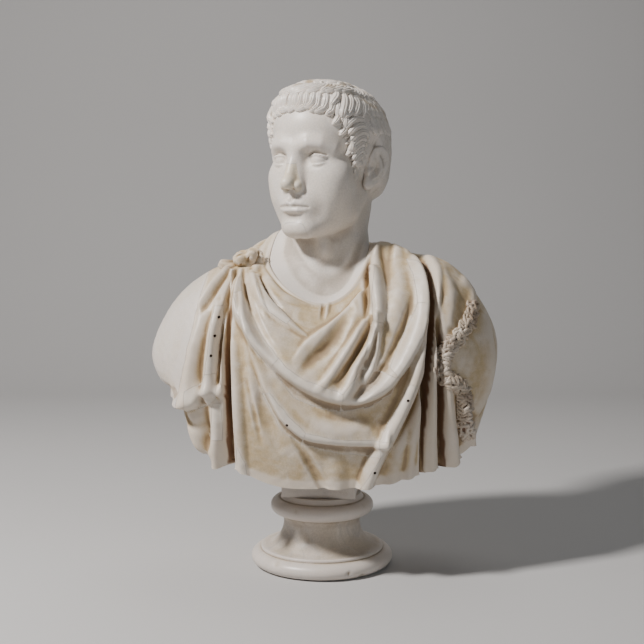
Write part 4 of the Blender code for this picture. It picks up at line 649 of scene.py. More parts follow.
def eyes(d, q):
    """Brow, socket, eyeball and lids that thin to their edges, which are parabolas over the eyeball."""
    d = join(d, chain(q, [(0.003, -0.0865, 0.0185), (0.022, -0.0870, 0.0230), (0.038, -0.0785, 0.0225),
                          (0.050, -0.0640, 0.0150)], [0.0070, 0.0074, 0.0068, 0.0050]), 0.016)
    d = carve(d, ellipsoid(q, (0.0315, -0.1000, 0.0015), (0.0175, 0.0205, 0.0115)), 0.011)
    d = carve(d, ellipsoid(q, (0.0160, -0.1000, -0.0010), (0.0070, 0.0160, 0.0090)), 0.008)
    d = join(d, ellipsoid(q, EYE_PLACE, (EYE_RADIUS, EYE_RADIUS, EYE_RADIUS)), 0.0018)
    rel = q - EYE_PLACE
    reach = np.linalg.norm(rel, axis=-1)
    upper_edge = 0.0046 - 20.0 * rel[..., 0] ** 2
    lower_edge = -0.0046 + 12.0 * rel[..., 0] ** 2
    lids = 0.0031 * ease(-0.0003, 0.0030, rel[..., 2] - upper_edge)
    lids = lids + 0.0024 * ease(-0.0003, 0.0026, lower_edge - rel[..., 2])
    d = join(d, reach - 0.0128 - lids, 0.0014)
    crease = chain(q, [(0.0190, -0.0790, 0.0075), (0.0310, -0.0840, 0.0105), (0.0450, -0.0730, 0.0070)],
                   [0.0008, 0.0012, 0.0008])
    return carve(d, crease, 0.0030)


def nose(d, p, q):
    """Bridge, tip, wings and nostrils."""
    d = join(d, chain(p, [(0, -0.0850, 0.0150), (0, -0.1030, -0.0260)], [0.0075, 0.0080]), 0.011)
    d = join(d, chain(q, [(0.0055, -0.0830, 0.0030), (0.0085, -0.0920, -0.0300)], [0.0060, 0.0075]), 0.009)
    d = join(d, ellipsoid(p, (0, -0.1080, -0.0340), (0.0098, 0.0105, 0.0095)), 0.007)
    d = join(d, ellipsoid(q, (0.0118, -0.0960, -0.0375), (0.0068, 0.0100, 0.0072)), 0.0035)
    return carve(d, ellipsoid(q, (0.0062, -0.1000, -0.0445), (0.0034, 0.0060, 0.0040)), 0.002)


def mouth(d, p, q):
    """Mound of the mouth, upper and lower lip, the line between them, and the hollows above and below."""
    d = join(d, ellipsoid(p, (0, -0.0780, -0.0630), (0.0290, 0.0190, 0.0230)), 0.016)
    d = join(d, chain(q, [(0, -0.0965, -0.0637), (0.0050, -0.0968, -0.0622), (0.0140, -0.0930, -0.0640),
                          (0.0255, -0.0840, -0.0682)], [0.0044, 0.0046, 0.0040, 0.0018]), 0.0035)
    d = join(d, chain(q, [(0, -0.0948, -0.0735), (0.0090, -0.0940, -0.0732), (0.0180, -0.0890, -0.0716),
                          (0.0250, -0.0835, -0.0692)], [0.0054, 0.0054, 0.0040, 0.0016]), 0.0035)
    d = carve(d, chain(q, [(0, -0.1016, -0.0686), (0.0150, -0.0966, -0.0686), (0.0245, -0.0890, -0.0690)],
                       [0.0014, 0.0013, 0.0003]), 0.0034)
    d = carve(d, chain(p, [(0, -0.0985, -0.0500), (0, -0.0995, -0.0580)], [0.0014, 0.0018]), 0.006)
    return carve(d, ellipsoid(p, (0, -0.1010, -0.0838), (0.0170, 0.0085, 0.0048)), 0.008)


# Place of the ear, how far its top leans back, and how far it stands off
EAR_PLACE = np.array((0.0720, 0.0150, -0.0100))
EAR_LEAN = math.radians(14)
EAR_FLARE = math.radians(24)


def ear_axes():
    """Axes of the ear in the head's frame: out of its face, back along it and up along it."""
    out = np.array((math.cos(EAR_FLARE), -math.sin(EAR_FLARE), 0.0))
    back = np.array((math.sin(EAR_FLARE), math.cos(EAR_FLARE), 0.0))
    up = np.array((0.0, 0.0, 1.0))
    return np.array([out, back * math.cos(EAR_LEAN) - up * math.sin(EAR_LEAN),
                     up * math.cos(EAR_LEAN) + back * math.sin(EAR_LEAN)])


def ear(a):
    """Ear in its own axes: body and lobe, hollowed, with rim, inner fold and tragus."""
    d = join(ellipsoid(a, (0, 0.003, 0.003), (0.0085, 0.0185, 0.0300)),
             ellipsoid(a, (0.0015, -0.0035, -0.0255), (0.0062, 0.0085, 0.0100)), 0.006)
    d = carve(d, ellipsoid(a, (0.0106, 0.0015, -0.0040), (0.0092, 0.0115, 0.0165)), 0.0034)
    d = carve(d, ellipsoid(a, (0.0106, 0.0035, 0.0150), (0.0064, 0.0085, 0.0100)), 0.0034)
    d = join(d, chain(a, [(0.0020, -0.0085, 0.0020), (0.0050, -0.0110, 0.0130), (0.0068, -0.0075, 0.0250),
                          (0.0072, 0.0035, 0.0310), (0.0075, 0.0145, 0.0255), (0.0078, 0.0190, 0.0120),
                          (0.0070, 0.0170, -0.0040), (0.0050, 0.0100, -0.0180), (0.0045, 0.0020, -0.0270)],
                      [0.0026, 0.0034, 0.0036, 0.0038, 0.0040, 0.0040, 0.0036, 0.0030, 0.0030]), 0.0020)
    d = join(d, chain(a, [(0.0050, -0.0005, 0.0205), (0.0060, 0.0065, 0.0120), (0.0068, 0.0105, 0.0010),
                          (0.0058, 0.0075, -0.0110), (0.0050, 0.0000, -0.0170)],
                      [0.0026, 0.0032, 0.0034, 0.0032, 0.0028]), 0.0020)
    return join(d, ellipsoid(a, (0.0048, -0.0088, -0.0080), (0.0042, 0.0035, 0.0062)), 0.0025)


def in_head_frame(p):
    """Points of the bust in the head's own frame."""
    return turned(p - HEAD_PLACE, -HEAD_TURN)


def from_head_frame(p):
    """Points of the head's own frame in the bust."""
    return turned(np.asarray(p, float), HEAD_TURN) + HEAD_PLACE


def neck(p):
    """Neck, its two front muscles and the throat, in the bust's frame with heights from eye level."""
    r = p - HEAD_PLACE
    d = chain(r, [(0.002, 0.026, -0.052), (0.000, 0.004, -0.207)], [0.0545, 0.0600])
    d = join(d, chain(r, [(-0.040, 0.020, -0.060), (-0.009, -0.048, -0.202)], [0.016, 0.013]), 0.024)
    d = join(d, chain(r, [(0.052, 0.020, -0.070), (0.014, -0.048, -0.202)], [0.014, 0.013]), 0.024)
    return join(d, ellipsoid(r, (-0.006, -0.048, -0.127), (0.010, 0.012, 0.016)), 0.018)


def head_distance(p):
    """Distance to the bald head and neck."""
    local = in_head_frame(p)
    mirrored = local.copy()
    mirrored[..., 0] = np.abs(mirrored[..., 0])
    d = eyes(skull(local, mirrored), mirrored)
    d = nose(d, local, mirrored)
    d = mouth(d, local, mirrored)
    return join(d, neck(p), 0.016)


def carve_in(distance, origin, direction, far, steps=26):
    """Where rays that come in from far outside first meet a volume, by steps of 0.9 of its distance."""
    reach = np.full(direction.shape[:-1], far)
    for _ in range(steps):
        reach = reach - 0.9 * np.clip(distance(origin + direction * reach[..., None]), -0.004, 0.025)
    return origin + direction * reach[..., None]


# Hair: a cap with a drawn lower edge, and locks laid over it in rows
# Its edge is given in degrees from the face and millimetres above the eyes
HAIR_EDGE = [(0, 76), (25, 75), (42, 66), (52, 45), (58, 20), (63, -10), (72, -14), (76, 20), (82, 30),
             (100, 28), (108, -10), (118, -40), (140, -56), (180, -60)]
CAP_CENTRE = np.array((0.0, 0.010, 0.020))
CAP_RADII = np.array((0.085, 0.105, 0.100))
WHORL = (180.0, 52.0)
PARTING = -12.0
RAY_REACH = 0.15
Lock = namedtuple("Lock", "path width height")


def on_cap(azimuth, rise):
    """Point of the hair cap at an azimuth from the face and an angle above its middle, both in degrees."""
    turn = np.radians(azimuth)
    tip = np.radians(rise)
    ray = np.stack([np.cos(tip) * np.sin(turn), -np.cos(tip) * np.cos(turn), np.sin(tip)], -1)
    return CAP_CENTRE + CAP_RADII * ray


def to_cap(p):
    """Points drawn along rays from the cap's middle on to the cap."""
    r = (p - CAP_CENTRE) / CAP_RADII
    return CAP_CENTRE + CAP_RADII * r / np.linalg.norm(r, axis=-1, keepdims=True)


def around_cap(local):
    """Azimuth from the face and angle above the cap's middle, in degrees."""
    r = (local - CAP_CENTRE) / CAP_RADII
    rise = np.degrees(np.arctan2(r[..., 2], np.hypot(r[..., 0], r[..., 1])))
    return np.degrees(np.arctan2(local[..., 0], -local[..., 1])), rise


def hair_edge(local):
    """Height of the hair's edge at the azimuth of each point."""
    azimuth = np.degrees(np.abs(np.arctan2(local[..., 0], -local[..., 1])))
    angles, heights = np.array(HAIR_EDGE, float).T
    return np.interp(azimuth, angles, heights * MM)


def hair_locks():
    """Locks of the crown, which fall away from its whorl in rings."""
    rng = np.random.default_rng(11)
    locks = []
    whorl = on_cap(*WHORL)
    axis = unit(whorl - CAP_CENTRE)
    side = unit(np.cross(axis, (1.0, 0.0, 0.0)))
    other = np.cross(axis, side)
    share = np.linspace(0.0, 1.0, 7)[:, None]
    for ring in range(1, 13):
        polar = ring * 0.165
        count = max(5, int(round(2 * math.pi * math.sin(polar) * 0.098 / 0.0125)))
        for k in range(count):
            turn = 2 * math.pi * (k + 0.5 * (ring % 2) + rng.uniform(-0.20, 0.20)) / count
            swirl = rng.uniform(0.10, 0.34) + 0.5 * math.exp(-ring / 2)
            fall = polar + rng.uniform(0.28, 0.36) * share
            turned = turn + swirl * share**2
            ray = axis * np.cos(fall) + np.sin(fall) * (side * np.cos(turned) + other * np.sin(turned))
            path = to_cap(CAP_CENTRE + ray)
            azimuth, rise = around_cap(path[4])
            if abs(azimuth) < 62 and rise < 76:
                continue
            high = 0.0032 + 0.0018 * (rise < 55)
            locks.append(Lock(path, rng.uniform(0.0062, 0.0080), high * rng.uniform(0.85, 1.2)))
    return locks


def lock_height(flat, lock):
    """Height of one lock over cap points near it, and which points these are: a rounded bar that thickens
    towards its tip, with strands along it."""
    middle = lock.path.mean(0)
    reach = np.linalg.norm(lock.path - middle, axis=1).max() + 2 * lock.width
    near = np.nonzero(np.linalg.norm(flat - middle, axis=1) < reach)[0]
    p = flat[near]
    nearest = np.full(len(p), np.inf)
    share = np.zeros(len(p))
    across = np.zeros(len(p))
    spans = len(lock.path) - 1
    for i, (start, end) in enumerate(zip(lock.path[:-1], lock.path[1:])):
        step = end - start
        u = np.clip(((p - start) @ step) / (step @ step), 0.0, 1.0)
        away = p - start - u[:, None] * step
        square = np.sum(away * away, axis=1)
        closer = square < nearest
        nearest = np.where(closer, square, nearest)
        share = np.where(closer, (i + u) / spans, share)
        sideways = np.cross(step, start - CAP_CENTRE)
        across = np.where(closer, away @ (sideways / np.linalg.norm(sideways)), across)
    width = lock.width * np.interp(share, (0, 0.25, 0.65, 0.88, 1), (0.7, 1.0, 1.0, 0.8, 0.5))
    q = np.sqrt(nearest) / width
    mound = np.clip(1.0 - q**2.4, 0.0, 1.0) ** 0.6
    strands = 1.0 - 0.13 * (1.0 + np.cos(2 * math.pi * across / (0.60 * lock.width)))
    return near, lock.height * (0.30 + 0.70 * ease(0.0, 0.7, share)) * mound * strands


def combed(local):
    """Thickness of the hair under its locks: a cap, fuller over the brow."""
    azimuth, rise = around_cap(local)
    brow = ease(-0.1, 0.7, np.cos(np.radians(azimuth))) * np.exp(-(((rise - 47.0) / 20.0) ** 2))
    return ease(-0.001, 0.012, local[..., 2] - hair_edge(local)) * (0.0070 + 0.0050 * brow)


def hair_cover(points):
    """Thickness of the hair over points of the bald head: the combed cap and the locks of the crown."""
    shape = points.shape[:-1]
    local = in_head_frame(points).reshape(-1, 3)
    flat = to_cap(local)
    best = np.zeros(len(flat))
    for lock in hair_locks():
        near, mound = lock_height(flat, lock)
        best[near] = np.maximum(best[near], mound)
    above = local[:, 2] - hair_edge(local)
    return (combed(local) + best * ease(-0.006, 0.004, above)).reshape(shape)


def lock_bar(azimuth, rise, width, height):
    """Closed skin of one lock over the brow or temple: a flattened bar on the combed hair along a path of
    angles on the cap, with three strands, thickest past its middle and pointed at its lifted tip."""
    local = on_cap(azimuth, rise)
    ray = unit(local - CAP_CENTRE)
    normal = unit(ray / CAP_RADII**2)
    middle = from_head_frame(CAP_CENTRE)
    aim = from_head_frame(CAP_CENTRE + ray) - middle
    normal = from_head_frame(CAP_CENTRE + normal) - middle
    bald = carve_in(head_distance, middle + 0 * aim, aim, RAY_REACH)
    spine = bald + aim * combed(in_head_frame(bald))[:, None]
    share = np.linspace(0.0, 1.0, len(spine))
    tangent, across, out = bar_axes(spine, normal)
    around = np.arange(28) * 2 * math.pi / 28
    side, top = np.cos(around), np.sin(around)
    strands = 1.0 - 0.13 * (1.0 + np.cos(3 * math.pi * side)) * (top > 0)
    wide = width * np.interp(share, (0, 0.3, 0.65, 0.86, 1), (0.55, 1.0, 0.95, 0.62, 0.14))
    high = height * np.interp(share, (0, 0.25, 0.65, 0.9, 1), (0.25, 0.75, 1.0, 0.75, 0.25))
    rows = across[:, None] * (wide[:, None] * side)[..., None]
    rows = rows + out[:, None] * (high[:, None] * (top * strands - 0.10 + 0.35 * share[:, None]))[..., None]
    rows = rows + spine[:, None]
    return pointed_bar(rows, rows.mean(1), 0.3 * wide[:, None], tangent)


def hair_bars():
    """Skin of the locks over brow, temples and sides: tiers of waves and of commas whose tips hook away from
    the parting, and nested arches in front of both ears."""
    rng = np.random.default_rng(11)
    share = np.linspace(0.0, 1.0, 20)
    fall = np.sin(0.5 * math.pi * share) ** 0.9
    bars = []

    def tier(azimuths, top, low, hook, wave, width, height):
        for azimuth in azimuths:
            away = (-hook if azimuth > PARTING else hook) * rng.uniform(0.6, 1.4)
            bend = wave * rng.uniform(0.5, 1.5) * np.sin(2 * math.pi * share + rng.uniform(-0.5, 0.5))
            start = top(azimuth) + rng.uniform(-1.0, 1.0)
            end = low(azimuth) + rng.uniform(-1.5, 1.5)
            path = azimuth + rng.uniform(-0.9, 0.9) + bend + away * (share**2.6 - 0.25 * share)
            bars.append(lock_bar(path, start + (end - start) * fall, width * rng.uniform(0.9, 1.1), height))

    def edge(azimuth):
        height = np.interp(abs(azimuth), *np.array(HAIR_EDGE, float).T) * MM
        return math.degrees(math.asin((height - CAP_CENTRE[2]) / CAP_RADII[2]))

    tier(np.arange(-58.0, 61.0, 6.9), lambda a: edge(a) + 12, lambda a: edge(a) - 4, 12.0, 0.8,
         0.0058, 0.0062)
    for sign in (-1.0, 1.0):
        tier(sign * np.arange(44.0, 76.0, 7.5), lambda a: 49, lambda a: max(edge(a) + 8, 24), 9.0, 1.6,
             0.0066, 0.0056)
        tier(sign * np.arange(74.0, 160.0, 10.0), lambda a: 68, lambda a: 46, 12.0, 3.0, 0.0082, 0.0050)
        tier(sign * np.arange(79.0, 165.0, 9.0), lambda a: 50, lambda a: 28, -10.0, 3.0, 0.0078, 0.0050)
        tier(sign * np.arange(86.0, 168.0, 8.0), lambda a: 31, lambda a: 12, -9.0, 2.0, 0.0076, 0.0046)
    tier(np.arange(-62.0, 68.0, 9.6), lambda a: 61, lambda a: 43, 16.0, 2.4, 0.0072, 0.0066)
    tier(np.arange(-82.0, 88.0, 15.0), lambda a: 80, lambda a: 58, 26.0, 6.0, 0.0086, 0.0052)
    for sign in (-1.0, 1.0):
        for k in range(10):
            level = 64.0 - 8.6 * k
            front = np.interp(level, (-14, -10, 20, 45, 66, 75), (65, 63, 58, 52, 42, 25)) - 1.0
            back = 84.0 - 0.4 * k + rng.uniform(-3, 3)
            height = level - 6.0 + 11.0 * np.sin(math.pi * np.minimum(1.1 * share, 1.0)) - 9.0 * share**2
            rise = np.degrees(np.arcsin((height * MM - CAP_CENTRE[2]) / CAP_RADII[2]))
            bars.append(lock_bar(sign * (back + (front - back) * share**0.9), rise, 0.0058, 0.0044))
    return joined(bars)


def head_mesh(columns, neck_rows, head_rows):
    """Closed skin of the head block: tenon, collar of the neck, neck, head and hair; rays climb the neck
    while they tip down, then fan out over the head, and stop where they meet the head's volume."""
    angles = spread(columns, (HEAD_TURN,), 0.95, 1.8)
    tenon = socket_rows(angles, NECK_BED)
    brim = tenon[-1]
    centre = HEAD_PLACE + np.array((0.0, 0.002, -FAN_DROP))
    flat = np.stack([np.sin(angles), -np.cos(angles), np.zeros_like(angles)], -1)
    ring_height = brim[:, 2] + COLLAR_SHARE * (centre[2] - brim[:, 2])
    start = np.stack([0 * angles + centre[0], 0 * angles + centre[1], ring_height], -1)
    ring = carve_in(head_distance, start, flat, RAY_REACH, 40)
    collar = []
    bend = np.stack([ring[:, 0] * 1.04, ring[:, 1] * 1.04, 0.75 * brim[:, 2] + 0.25 * ring_height], -1)
    for u in np.linspace(0.0, 1.0, 11)[1:-1]:
        collar.append(brim * (1 - u) ** 2 + bend * 2 * u * (1 - u) + ring * u**2)
    dip = np.minimum(math.tan(math.radians(52)), 0.6 * (centre[2] - ring_height) / 0.065)
    climb = (np.arange(neck_rows) / neck_rows)[:, None]
    fan = (np.arange(head_rows) / head_rows)[:, None]
    heights = np.concatenate([ring_height + (centre[2] - ring_height) * climb, centre[2] + 0 * fan * angles])
    lowest = np.arctan(dip)
    tips = np.concatenate([-np.arctan(dip * climb), -lowest + (0.5 * math.pi + lowest) * fan])
    origin = np.stack([0 * heights + centre[0], 0 * heights + centre[1], heights], -1)
    level = np.cos(tips)[..., None] * flat[None]
    direction = level + np.stack([0 * tips, 0 * tips, np.sin(tips)], -1)
    bald = soften(carve_in(head_distance, origin, direction, RAY_REACH), 1)
    skin = bald + direction * hair_cover(bald)[..., None]
    floor = (0.0, 0.0, SEAT + SOCKET_FLOOR + NECK_BED)
    crown = skin[-1].mean(0)
    return ring_skin(tenon + collar + list(skin), floor, crown, rising=True)


def ear_mesh(sign):
    """Closed skin of one ear: rays from its middle in to its volume."""
    axes = ear_axes()
    direction, ends = sphere_rays(96, 72, 88)
    middle = np.array((-0.0030, 0.003, 0.002))
    rows = soften(carve_in(ear, middle, direction, 0.05, 60), 3)
    poles = carve_in(ear, middle, ends, 0.05, 60)

    def place(a):
        local = EAR_PLACE + a @ axes
        return from_head_frame(local * np.array((sign, 1.0, 1.0)))

    return ring_skin(list(place(rows)), place(poles[0]), place(poles[1]), rising=sign > 0)


# Knot of the cloak on the right shoulder, millimetres from its middle
KNOT_MIDDLE = (-116, -22, 340)
KNOT_LUMPS = [((0, 0, 3), (18, 16, 15)), ((8, -9, 9), (11, 11, 11)), ((-8, -10, 4), (11, 11, 11)),
              ((12, 8, 11), (14, 13, 10)), ((-26, 0, -5), (17, 10, 8)), ((-33, -3, -3), (8, 8, 7)),
              ((2, 4, -7), (17, 17, 15)), ((20, 2, 2), (9, 12, 9))]
KNOT_GROOVES = [[(-16, -18, 8), (-4, -16, 12), (4, -10, 18)], [(2, -20, -4), (6, -17, 8), (14, -8, 17)],
                [(-36, -6, -2), (-24, -9, 1), (-12, -10, 4)], [(-6, -18, -6), (-10, -15, 4), (-12, -4, 14)],
                [(18, -14, 2), (20, -6, 10), (20, 8, 16)]]


def knot_distance(p):
    """Distance to the knot: rounded lumps joined, grooves carved between them, and a ripple for wear."""
    d = np.full(p.shape[:-1], 1.0)
    for place, radii in KNOT_LUMPS:
        d = join(d, ellipsoid(p, np.array(place) * MM, np.array(radii) * MM), 0.0025)
    for path in KNOT_GROOVES:
        d = carve(d, chain(p, np.array(path, float) * MM, [0.0016, 0.0022, 0.0014]), 0.0025)
    return d + 0.0007 * ripple(p, 0.012, 21)


def knot_mesh():
    """Closed skin of the knot: rays from its middle in to its lumps."""
    middle = np.array(KNOT_MIDDLE) * MM + np.array((0, 0, SEAT))
    direction, ends = sphere_rays(140, 96, 86)
    rows = carve_in(knot_distance, np.zeros(3), direction, 0.06, 50) + middle
    poles = carve_in(knot_distance, np.zeros(3), ends, 0.06, 50) + middle
    return ring_skin(list(rows), poles[0], poles[1], rising=True)


# Socle and tablet; a roll is a half round moulding of a depth and a half height

FOOT_ROLL_DEPTH = 0.015
FOOT_ROLL_RISE = 0.0125
FILLET_TOP = 0.030
FILLET_INSET = 0.0030
WAIST_RADIUS = 0.060
WAIST_RISE = 0.038
NECKING_FLARE = 0.0064
NECKING_RISE = 0.013
TOP_ROLL_BED = 0.068
TOP_ROLL_HEIGHT = 0.093
TOP_ROLL_DEPTH = 0.013
TOP_ROLL_RISE = 0.012
DOWEL_HOLE_RADIUS = 0.0093
DOWEL_HOLE_DEPTH = 0.050
TABLET_HALF = np.array((0.057, 0.050))
TABLET_TURN = math.radians(-7.0)

# Chips of the socle: place, size and depth
SOCLE_CHIPS = [((0.039, -0.101, 0.012), 0.004, 0.0022), ((-0.070, -0.083, 0.022), 0.007, 0.0018),
               ((0.060, -0.090, 0.004), 0.006, 0.0016), ((-0.040, -0.070, 0.100), 0.005, 0.0014),
               ((0.066, -0.045, 0.104), 0.006, 0.0016)]


def socle_profile():
    """Radius and height along the socle's outline, from its underside up and down into the dowel hole: half
    round rolls, a fillet, a waist that is a quarter of an ellipse, a necking that flares as a square, and
    the top ring."""
    inner = 0.5 * (SOCLE_HIGH.x - SOCLE_LOW.x) - FOOT_ROLL_DEPTH
    top = SOCLE_HIGH.z
    half_turn = np.linspace(-0.5 * math.pi, 0.5 * math.pi, 25)
    quarter = np.linspace(0.0, 0.5 * math.pi, 30)[1:]
    flare = np.linspace(0.0, 1.0, 10)[1:]
    return np.concatenate([
        [(0.030, 0.0), (0.060, 0.0), (0.085, 0.0)],
        np.column_stack([inner + FOOT_ROLL_DEPTH * np.cos(half_turn),
                         FOOT_ROLL_RISE + FOOT_ROLL_RISE * np.sin(half_turn)]),
        [(inner - 0.0006, 0.0255), (inner - 0.0002, 0.0262), (inner, 0.0275), (inner - 0.0004, 0.0292),
         (inner - 0.0012, 0.0299), (inner - FILLET_INSET, FILLET_TOP)],
        np.column_stack([WAIST_RADIUS + (inner - FILLET_INSET - WAIST_RADIUS) * (1.0 - np.sin(quarter)),
                         FILLET_TOP + WAIST_RISE * (1.0 - np.cos(quarter))]),
        np.column_stack([WAIST_RADIUS + NECKING_FLARE * flare**2,
                         FILLET_TOP + WAIST_RISE + NECKING_RISE * flare]),
        np.column_stack([TOP_ROLL_BED + TOP_ROLL_DEPTH * np.cos(half_turn),
                         TOP_ROLL_HEIGHT + TOP_ROLL_RISE * np.sin(half_turn)]),
        [(0.0662, 0.1053), (0.0648, 0.1061), (0.0638, 0.1075), (0.0630, 0.1095), (0.0612, top), (0.040, top),
         (DOWEL_HOLE_RADIUS, top), (DOWEL_HOLE_RADIUS, top - DOWEL_HOLE_DEPTH)],
    ]).T


def socle_mesh():
    """Skin of the turned socle: its profile carried round the axis, worn by a ripple and chipped."""
    around = np.arange(220) * 2 * math.pi / 220
    radius, height = socle_profile()
    rows = np.stack([radius[:, None] * np.cos(around), radius[:, None] * np.sin(around),
                     height[:, None] + 0 * around], -1)
    outside = (radius > 0.05)[:, None] & (rows[..., 2] > 0.0005) & (rows[..., 2] < SOCLE_HIGH.z - 0.002)
    shrink = 1.0 + (0.0035 * ripple(rows, 0.09, 51) - 0.0035) * outside
    for place, size, depth in SOCLE_CHIPS:
        away = np.linalg.norm(rows - np.array(place), axis=-1)
        shrink -= depth / 0.1 * np.exp(-((away / size) ** 4)) * outside
    rows[..., :2] *= shrink[..., None]
    return ring_skin(list(rows), (0, 0, 0), (0, 0, height[-1]), rising=True)


def tablet_mesh():
    """Skin of the tablet: a square plan stretched to its half sizes, drawn in where its edges are eased,
    made a little uneven, and turned."""
    low, high = TABLET_LOW.z, TABLET_HIGH.z
    levels = [(0.012, low), (0.0016, low), (0.0006, low + 0.0003), (0.0, low + 0.0012), (0.0, low + 0.006),
              (0.0, low + 0.0105), (0.0, high - 0.006), (0.0, high - 0.0012), (0.0006, high - 0.0003),
              (0.0016, high), (0.012, high)]
    plan = square_ring(160)
    rows = np.array([np.column_stack([plan * (TABLET_HALF - inset), np.full(len(plan), level)])
                     for inset, level in levels])
    rows[..., :2] *= 1.0 + 0.006 * ripple(rows, 0.04, 61)[..., None] - 0.006
    return ring_skin(list(turned(rows, TABLET_TURN)), (0, 0, low), (0, 0, high), rising=True)


# Meshes and objects

# Booleans that wait for settle(), by the name of their piece
PENDING = {}


def square_ring(count):
    """Points of a square of half side one, at even angles round its middle."""
    angle = np.linspace(0, 2 * math.pi, count + 1)[:-1]
    ray = np.stack([np.cos(angle), np.sin(angle)], -1)
    return ray / np.abs(ray).max(axis=1, keepdims=True)


def sphere_rays(columns, rows, steepest):
    """Unit directions on rings of a sphere, from low to high, and those of its two poles."""
    up = np.array((0.0, 0.0, 1.0))
    around = np.arange(columns) * 2 * math.pi / columns
    tip = np.radians(np.linspace(-steepest, steepest, rows))
    level = np.cos(tip)[:, None, None] * np.stack([np.cos(around), np.sin(around), 0 * around], -1)
    return level + np.sin(tip)[:, None, None] * up, np.array([-up, up])


def bar_axes(spine, normal):
    """Unit directions along a bar's spine, across it, and out of the surface that it lies on."""
    tangent = unit(np.gradient(spine, axis=0))
    across = unit(np.cross(normal, tangent))
    return tangent, across, np.cross(tangent, across)


def pointed_bar(rows, middle, point, tangent):
    """Skin of rings along a bar whose ends run out to points."""
    first = middle[0] - point[0] * tangent[0]
    last = middle[-1] + point[-1] * tangent[-1]
    return ring_skin(list(rows), first, last, rising=True)


def joined(skins):
    """Several skins as one."""
    counts = np.cumsum([0] + [len(verts) for verts, _ in skins])
    faces = [skin + count for (_, skin), count in zip(skins, counts)]
    return np.concatenate([verts for verts, _ in skins]), np.concatenate(faces)


def ring_skin(rows, first, last, rising):
    """Vertices and triangles of stacked rings closed by a point at each end; rising rows run up outside."""
    rows = np.array([np.asarray(row, float) for row in rows])
    count, around = rows.shape[:2]
    verts = np.vstack([rows.reshape(-1, 3), [first], [last]])
    i, j = np.meshgrid(np.arange(count - 1), np.arange(around), indexing="ij")
    k = (j + 1) % around
    a, b, c, d = (i * around + j, (i + 1) * around + j, (i + 1) * around + k, i * around + k)
    skin = np.stack([np.stack([a, d, c], -1), np.stack([a, c, b], -1)], 2).reshape(-1, 3)
    ring = np.arange(around)
    after = (ring + 1) % around
    top = count * around
    start = np.stack([0 * ring + top, after, ring], -1)
    end = np.stack([0 * ring + top + 1, (count - 1) * around + ring, (count - 1) * around + after], -1)
    faces = np.concatenate([skin, start, end])
    return verts, faces if rising else faces[:, ::-1]


def mesh_from(name, verts, faces):
    """Mesh from an array of like faces, or from a list of faces of any sides."""
    verts = np.asarray(verts, np.float32)
    mesh = bpy.data.meshes.new(name)
    if isinstance(faces, np.ndarray):
        sides = faces.shape[1]
        mesh.vertices.add(len(verts))
        mesh.vertices.foreach_set("co", verts.ravel())
        mesh.loops.add(faces.size)
        mesh.loops.foreach_set("vertex_index", faces.astype(np.int32).ravel())
        mesh.polygons.add(len(faces))
        mesh.polygons.foreach_set("loop_start", np.arange(0, faces.size, sides, dtype=np.int32))
        mesh.update(calc_edges=True)
    else:
        mesh.from_pydata(verts.tolist(), [], faces)
    return mesh


def add_object(name, verts, faces):
    """New object at the origin, with its place in its mesh."""
    piece = bpy.data.objects.new(name, mesh_from(name, verts, faces))
    bpy.context.scene.collection.objects.link(piece)
    return piece


def cut(piece, verts, faces, operation):
    """Notes a boolean with a helper body, to be worked out by settle()."""
    PENDING.setdefault(piece.name, []).append((verts, faces, operation))


def settle(piece):
    """Works out the noted booleans of a piece and keeps the result as its mesh."""
    helpers = []
    for verts, faces, operation in PENDING.pop(piece.name):
        helper = add_object("helper", verts, faces)
        modifier = piece.modifiers.new(operation.lower(), "BOOLEAN")
        modifier.operation = operation
        modifier.solver = "MANIFOLD"
        modifier.object = helper
        helpers.append(helper)
    graph = bpy.context.evaluated_depsgraph_get()
    mesh = bpy.data.meshes.new_from_object(piece.evaluated_get(graph))
    mesh.name = piece.name
    piece.modifiers.clear()
    old = piece.data
    piece.data = mesh
    bpy.data.meshes.remove(old)
    for helper in helpers:
        old = helper.data
        bpy.data.objects.remove(helper)
        bpy.data.meshes.remove(old)


def set_attribute(mesh, name, values):
    """One number for each point of a mesh, for the stones to read."""
    attribute = mesh.attributes.get(name) or mesh.attributes.new(name, "FLOAT", "POINT")
    attribute.data.foreach_set("value", np.asarray(values, np.float32))


def read_mesh(mesh):
    """Points, edges and normals of a mesh as arrays."""
    count = len(mesh.vertices)
    points = np.empty(count * 3, np.float32)
    mesh.vertices.foreach_get("co", points)
    edges = np.empty(len(mesh.edges) * 2, np.int32)
    mesh.edges.foreach_get("vertices", edges)
    normals = np.empty(count * 3, np.float32)
    mesh.vertex_normals.foreach_get("vector", normals)
    return points.reshape(-1, 3).astype(float), edges.reshape(-1, 2), normals.reshape(-1, 3).astype(float)


def hollowness(points, edges, normals, rounds):
    """How deep each point lies below its smoothed neighbourhood, in metres; ridges come out negative."""
    a, b = edges.T
    count = len(points)
    degree = np.maximum(np.bincount(a, minlength=count) + np.bincount(b, minlength=count), 1)[:, None]
    soft = points.copy()
    for _ in range(rounds):
        sums = [np.bincount(a, soft[b, k], count) + np.bincount(b, soft[a, k], count) for k in range(3)]
        total = np.stack(sums, -1)
        soft = 0.5 * soft + 0.5 * total / degree
    return np.sum((soft - points) * normals, -1)


